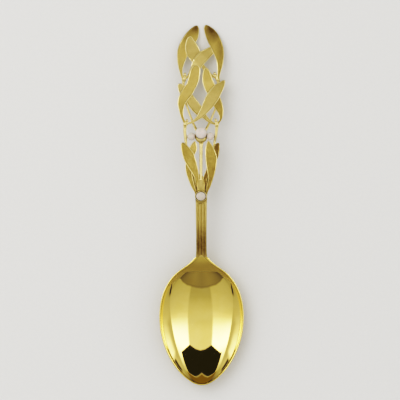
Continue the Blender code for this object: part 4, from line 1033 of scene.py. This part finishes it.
def cup():
    """A pouch round the big berry: its wall hugs the berry below and dies away towards the handle end."""
    n, (ccol, crow, crx, cry), (bcol, brow, brad, _) = 144, CENTRE_CUP, CENTRE_BERRY
    x, y = at(bcol, brow)
    slope = math.atan((back(y + 1) - back(y - 1)) / 2)
    angle = 2 * math.pi * np.arange(n) / n
    c, s, drop = np.cos(angle), np.sin(angle), crow - brow
    p, q, k = (c / crx) ** 2 + (s / cry) ** 2, s * drop / cry ** 2, (drop / cry) ** 2 - 1
    out = (-q + np.sqrt(q * q - p * k)) / p
    inner = np.minimum(brad - 0.25, out - 0.35)
    rings = curve([(-0.5, 0), (0.6, 0.05), (1, 0.4), (0.94, 0.85), (0.6, 1.3), (0.25, 1.5), (0.06, 1.45), (0, 1.2),
                   (-0.1, 0.62), (-0.3, 0.5)])(np.linspace(0, 1, 46))
    points, rims, hollows = [[0, 0, 0]], [0.0], [0.0]
    for i, (m, z) in enumerate(rings):
        r = np.where(m >= 0, inner + m * (out - inner), inner * (1 + m)) * GRID
        points.append(np.column_stack([r * c, r * s, z if z <= 0.5 else 0.5 + (z - 0.5) * (1 - s) / 2 + 0 * r]) if z > 0.5
                      else np.column_stack([r * c, r * s, z + 0 * r]))
        # painted highlight along the wall's top, painted shade inside round the berry
        rims += [float(ease(z, 0.9, 1.35)) * (m > 0.02)] * n
        hollows += [float(ease(m, 0.10, -0.02)) if i > 6 else 0.0] * n
    points.append([[0, 0, 0.5]])
    points = np.vstack([points[0]] + points[1:])
    rims.append(0.0)
    hollows.append(1.0)
    faces = []
    for i in range(len(rings) - 1):
        for j in range(n):
            k = (j + 1) % n
            faces.append((1 + i * n + j, 1 + i * n + k, 1 + (i + 1) * n + k, 1 + (i + 1) * n + j))
    end = len(points) - 1
    for j in range(n):
        k = (j + 1) % n
        faces += [(0, 1 + k, 1 + j), (end, end - n + j, end - n + k)]
    co, si = math.cos(slope), math.sin(slope)
    placed = np.stack([points[:, 0] + x, points[:, 1] * co - points[:, 2] * si + y,
                       points[:, 1] * si + points[:, 2] * co + float(back(y)) - 0.05], -1)
    return fine("centre_berry_cup", placed, faces, "satin", rim=0.5 * np.array(rims), hollow=np.array(hollows), tone=0.3)


cup()


# painted shade on a berry's lower part, below its belly
def berry_foot_shade(shape, belly):
    return 0.9 * ease(shape[:, 1], belly + 0.35, belly - 0.25)


shape = ball(0.8, 2.35, 4.5)
turned("centre_berry", CENTRE_BERRY, shape, "enamel", hollow=berry_foot_shade(shape, 2.2))
for side, seat, berry in (("left", LEFT_SEAT, LEFT_BERRY), ("right", RIGHT_SEAT, RIGHT_BERRY)):
    # each seat is darkened with painted shade under its berry
    turned(side + "_berry_seat", seat, [(0, 0), (0.8, 0), (0.92, 0.04), (0.99, 0.16), (1, 0.3), (0.99, 0.5), (0.93, 0.64), (0.82, 0.7), (0, 0.7)],
           "satin", n=64, hollow=0.35)
    shape = ball(0.78, 1.6, 3.0)
    turned(side + "_berry", berry, shape, "enamel", n=80, hollow=berry_foot_shade(shape, 1.55), tone=0.3)

# painted highlight on the collet ring's top, painted shade down its inner wall
turned("foot_berry_collet", FOOT_COLLET,
       [(0, 0), (0.88, 0), (0.94, 0.03), (0.985, 0.1), (1, 0.22), (1, 0.6), (0.995, 0.7), (0.97, 0.78), (0.94, 0.8), (0.91, 0.78),
        (0.885, 0.7), (0.87, 0.5), (0.84, 0.34), (0.8, 0.3), (0, 0.3)],
       "satin", n=80, height=SHEATH_T + GAP, rim=[0, 0, 0, 0, 0.2, 0.5, 0.8, 0.9, 0.9, 0.8, 0.4, 0, 0, 0, 0],
       tone=0.2, hollow=[0, 0, 0, 0, 0, 0, 0, 0, 0, 0, 0.2, 0.6, 0.9, 1, 1])
# the foot berry: darkened a little all over and more at its foot, as painted shade
shape = ball(0.0, 0.75, 1.75)
turned("foot_berry", FOOT_BERRY, shape, "enamel", n=80, height=SHEATH_T + GAP + 0.38,
       hollow=np.clip(berry_foot_shade(shape, 0.75) + 0.16, 0, 1), tone=0.3)

# buds: burnished gold with a painted highlight over the whole bud
for bud_name, (*bud_place, under) in BUDS.items():
    turned(bud_name, bud_place, ball(0.0, 0.45, 1.2, 16), "satin", n=40, height=under, rim=0.6)

# ----------------------------------------------------------------- the studio
floor_mesh = bpy.data.meshes.new("floor")
floor_mesh.from_pydata([(-4, -4, -0.00003), (4, -4, -0.00003), (4, 4, -0.00003), (-4, 4, -0.00003)], [], [(0, 1, 2, 3)])
floor = bpy.data.objects.new("floor", floor_mesh)
bpy.context.scene.collection.objects.link(floor)
floor_mat = bpy.data.materials.new("pale_floor")
g = Graph(floor_mat)
speck = g.noise(g.place(), 0.8, 4.0, 0.6)
g.surface(Base_Color=g.mix(speck, (0.66, 0.655, 0.64), (0.70, 0.695, 0.68)), Roughness=0.85,
          Normal=g.bump(speck, 0.02 * MM))
floor_mesh.materials.append(floor_mat)
floor.visible_glossy = False

world = bpy.data.worlds.new("studio")
bpy.context.scene.world = world
g = Graph(world)
direction = g.node("ShaderNodeTexCoord").outputs["Generated"]
split = g.node("ShaderNodeSeparateXYZ")
g.feed(split.inputs[0], direction)
dx, dy, dz = split.outputs
up = g.math("MAXIMUM", dz, 0.02)
px, py = g.math("DIVIDE", dx, up), g.math("DIVIDE", dy, up)
ax = g.math("ABSOLUTE", px)


def band(value, lo, hi, soft_lo, soft_hi):
    return g.mul(g.ramp(value, lo - soft_lo, lo + soft_lo), g.ramp(value, hi - soft_hi, hi + soft_hi, 1.0, 0.0))


def over(base, mask, colour):
    """Lays a patch of light or dark over what is there."""
    return g.mix(mask, base, colour)


def grey(level, warm=0.0):
    """A light level with a little warmth, as a colour."""
    mix = g.node("ShaderNodeCombineColor")
    g.feed(mix.inputs[0], level)
    g.feed(mix.inputs[1], g.mul(level, 1 - 0.3 * warm))
    g.feed(mix.inputs[2], g.mul(level, 1 - warm))
    return mix.outputs[0]


# rest of the room: `turn` runs from behind the tip (0) round to the handle's end (180)
turn = g.mul(g.math("ARCTAN2", g.math("ABSOLUTE", dx), dy), 180 / math.pi)
low_sky = g.table(turn, [(0, 0.07), (28, 0.10), (38, 0.40), (46, 0.62), (56, 0.82), (60, 1.1), (63, 2.3), (72, 2.1), (80, 1.35),
                       (88, 0.92), (96, 0.72), (105, 0.62), (117, 0.52), (122.5, 0.47), (129.5, 0.46), (134, 0.46), (145, 0.36), (180, 0.36)])
low_sky = g.math("MAXIMUM", low_sky, g.ramp(dz, -0.02, -0.2, 0.0, 0.42))  # light from the table under the bowl
dip = g.table(dz, [(-0.2, 0.55), (0.0, 0.75), (0.2, 1.05), (0.36, 0.9), (0.5, 0.6)])
low_sky = g.mix(g.ramp(low_sky, 0.7, 1.0), grey(low_sky, 0.0), grey(g.mul(low_sky, dip), 0.0))
sky = g.mix(g.ramp(dz, 0.42, 0.56), low_sky, grey(g.table(dz, [(0.5, 0.62), (1.0, 0.75)]), 0.0))
# side panels
bright = g.table(py, [(-2.6, 0.50), (-1.5, 0.56), (-0.85, 0.62), (-0.47, 0.73), (-0.33, 0.80), (-0.2, 0.92), (-0.08, 1.2), (0.02, 1.75),
                    (0.12, 2.7), (0.22, 3.5), (0.32, 4.0), (0.42, 4.2), (0.52, 3.8), (0.65, 2.6), (0.8, 1.55), (1.05, 0.8), (1.6, 0.6)])
outer_edge = g.table(py, [(-1.6, 2.5), (-0.9, 2.0), (-0.45, 1.68), (-0.1, 1.47), (0.15, 1.32), (0.35, 1.24), (0.6, 1.16), (0.85, 1.10), (1.2, 1.16)])
am = g.math("ABSOLUTE", g.sub(px, 0.04))
panel = g.mul(g.ramp(am, 0.32, 0.40), g.ramp(g.sub(ax, outer_edge), -0.05, 0.05, 1.0, 0.0))
panel = g.mul(panel, g.mul(g.ramp(py, -4.0, -2.6), g.ramp(py, 1.3, 1.9, 1.0, 0.0)))
sky = over(sky, panel, grey(bright, 0.0))
# middle panel
middle = g.mul(g.ramp(am, 0.32, 0.40, 1.0, 0.0), band(py, -1.3, 0.62, 0.1, 0.02))
sky = over(sky, middle, grey(g.table(py, [(-0.9, 0.46), (-0.7, 0.48), (-0.53, 0.52), (-0.39, 0.62), (-0.27, 0.70), (-0.16, 0.78), (0.02, 0.83),
                                        (0.10, 0.94), (0.17, 1.01), (0.40, 1.06)]), 0.0))
# the dark gap behind the handle end
edge_low = g.table(am, [(0.0, 0.45), (0.16, 0.435), (0.36, 0.385), (0.83, 0.61)])
foot_line = g.table(ax, [(0.0, 0.91), (0.15, 0.98), (0.4, 1.10), (0.85, 1.22)])
dark = g.mul(g.ramp(g.sub(py, edge_low), -0.012, 0.012), g.ramp(g.sub(py, foot_line), -0.03, 0.03, 1.0, 0.0))
dark = g.mul(dark, g.ramp(g.sub(ax, g.table(py, [(0.61, 0.86), (0.82, 0.85), (1.2, 0.83)])), -0.025, 0.025, 1.0, 0.0))
sky = over(sky, dark, grey(0.045, 0.2))
# thin dark gaps either side of the panels' ends
gap = band(g.sub(dz, g.table(turn, [(112, 0.34), (116, 0.33), (120, 0.30), (122.6, 0.28), (124.6, 0.24), (126.8, 0.20), (128.8, 0.15),
                                  (130.3, 0.07), (132, -0.03), (134, -0.12)])), -0.055, 0.055, 0.03, 0.03)
gap = g.mul(gap, g.mul(g.ramp(turn, 115, 124), g.ramp(turn, 131.5, 136, 1.0, 0.0)))
tick = g.mul(band(dz, 0.08, 0.34, 0.04, 0.04), g.mul(g.ramp(turn, 44, 49), g.ramp(turn, 58, 59.5, 1.0, 0.0)))
sky = over(sky, g.mul(g.math("MAXIMUM", gap, g.mul(tick, 0.95)), 0.95), grey(0.05, 0.1))
# under it, the warm glow at the tip
glow = g.mul(g.ramp(g.sub(py, foot_line), 0.0, 0.05), g.ramp(ax, 0.9, 1.2, 1.0, 0.0))
sky = over(sky, g.mul(glow, g.ramp(dz, 0.2, 0.35)), (0.26, 0.205, 0.05))
# the low window on the bowl's side, seen past the stem
low_edge = g.table(ax, [(0.0, -0.88), (0.2, -0.93), (0.36, -1.01), (0.63, -1.18), (1.04, -1.61), (2.55, -3.53), (4.0, -5.4)])
high_edge = g.table(ax, [(0.0, -2.65), (3.4, -7.7)])
end_edge = g.add(2.55, g.mul(g.sub(-3.53, py), 0.193))
lens = g.mul(g.ramp(g.sub(py, low_edge), 0.03, -0.03), g.ramp(g.sub(py, high_edge), -0.1, 0.1))
lens = g.mul(lens, g.ramp(g.sub(ax, end_edge), 0.15, -0.15))
sky = over(sky, lens, grey(g.table(ax, [(0.0, 0.31), (0.3, 0.35), (0.8, 0.30), (1.5, 0.22), (2.5, 0.17)]), 0.12))
# a darker line round it
halo = g.mul(band(g.sub(py, low_edge), -0.05, 0.05, 0.03, 0.03), g.ramp(ax, 1.2, 1.8, 1.0, 0.0))
sky = over(sky, g.mul(halo, 0.6), grey(0.25, 0.1))

path = g.node("ShaderNodeLightPath")
seen = g.mix(path.outputs["Is Diffuse Ray"], sky, (0.98, 0.97, 0.95))
seen = g.mix(path.outputs["Is Camera Ray"], seen, (0.72, 0.715, 0.70))
light = g.node("ShaderNodeBackground")
g.feed(light.inputs["Color"], seen)
light.inputs["Strength"].default_value = 1.0
out = g.node("ShaderNodeOutputWorld")
g.tree.links.new(light.outputs[0], out.inputs[0])
world.cycles.sampling_method = "NONE"

lamp = bpy.data.lights.new("soft_key", "AREA")
lamp.shape, lamp.size, lamp.energy = "DISK", 0.9, 6.0
key = bpy.data.objects.new("soft_key", lamp)
key.location = (-0.5, 0.45, 1.1)
key.rotation_euler = (math.radians(-20), math.radians(-24), 0)
key.visible_glossy = False
key.visible_camera = False
bpy.context.scene.collection.objects.link(key)

# ----------------------------------------------------------------- the camera
cam = bpy.data.cameras.new("camera")
cam.sensor_width, cam.lens = 36.0, 36.0 / 178.0 * 1200.0
cam.clip_start, cam.clip_end = 0.05, 20.0
camera = bpy.data.objects.new("camera", cam)
camera.location = (-0.00049, 0.0525, 1.2)
camera.rotation_euler = (0, 0, -0.0038)
bpy.context.scene.collection.objects.link(camera)
bpy.context.scene.camera = camera
bpy.context.scene.view_settings.view_transform = "Standard"
bpy.context.scene.view_settings.look = "None"
# a print-like tone curve: darks drop, highlights roll off
view = bpy.context.scene.view_settings
view.use_curve_mapping = True
TONES, TONE_TOP = [(0, 0), (0.107, 0.045), (0.137, 0.0735), (0.174, 0.117), (0.225, 0.181), (0.288, 0.266), (0.37, 0.366),
                   (0.474, 0.474), (0.607, 0.591), (0.777, 0.701), (1.0, 0.807), (1.28, 0.871), (1.64, 0.922),
                   (2.1, 0.956), (3.2, 1.0)], 3.2
view.curve_mapping.black_level = (0, 0, 0)
view.curve_mapping.white_level = (TONE_TOP,) * 3
tones = view.curve_mapping.curves[3]
for tone_in, tone_out in TONES[1:-1]:
    tones.points.new(tone_in / TONE_TOP, tone_out)
tones.points[0].location = (0, 0)
tones.points[-1].location = (1, 1)
view.curve_mapping.update()
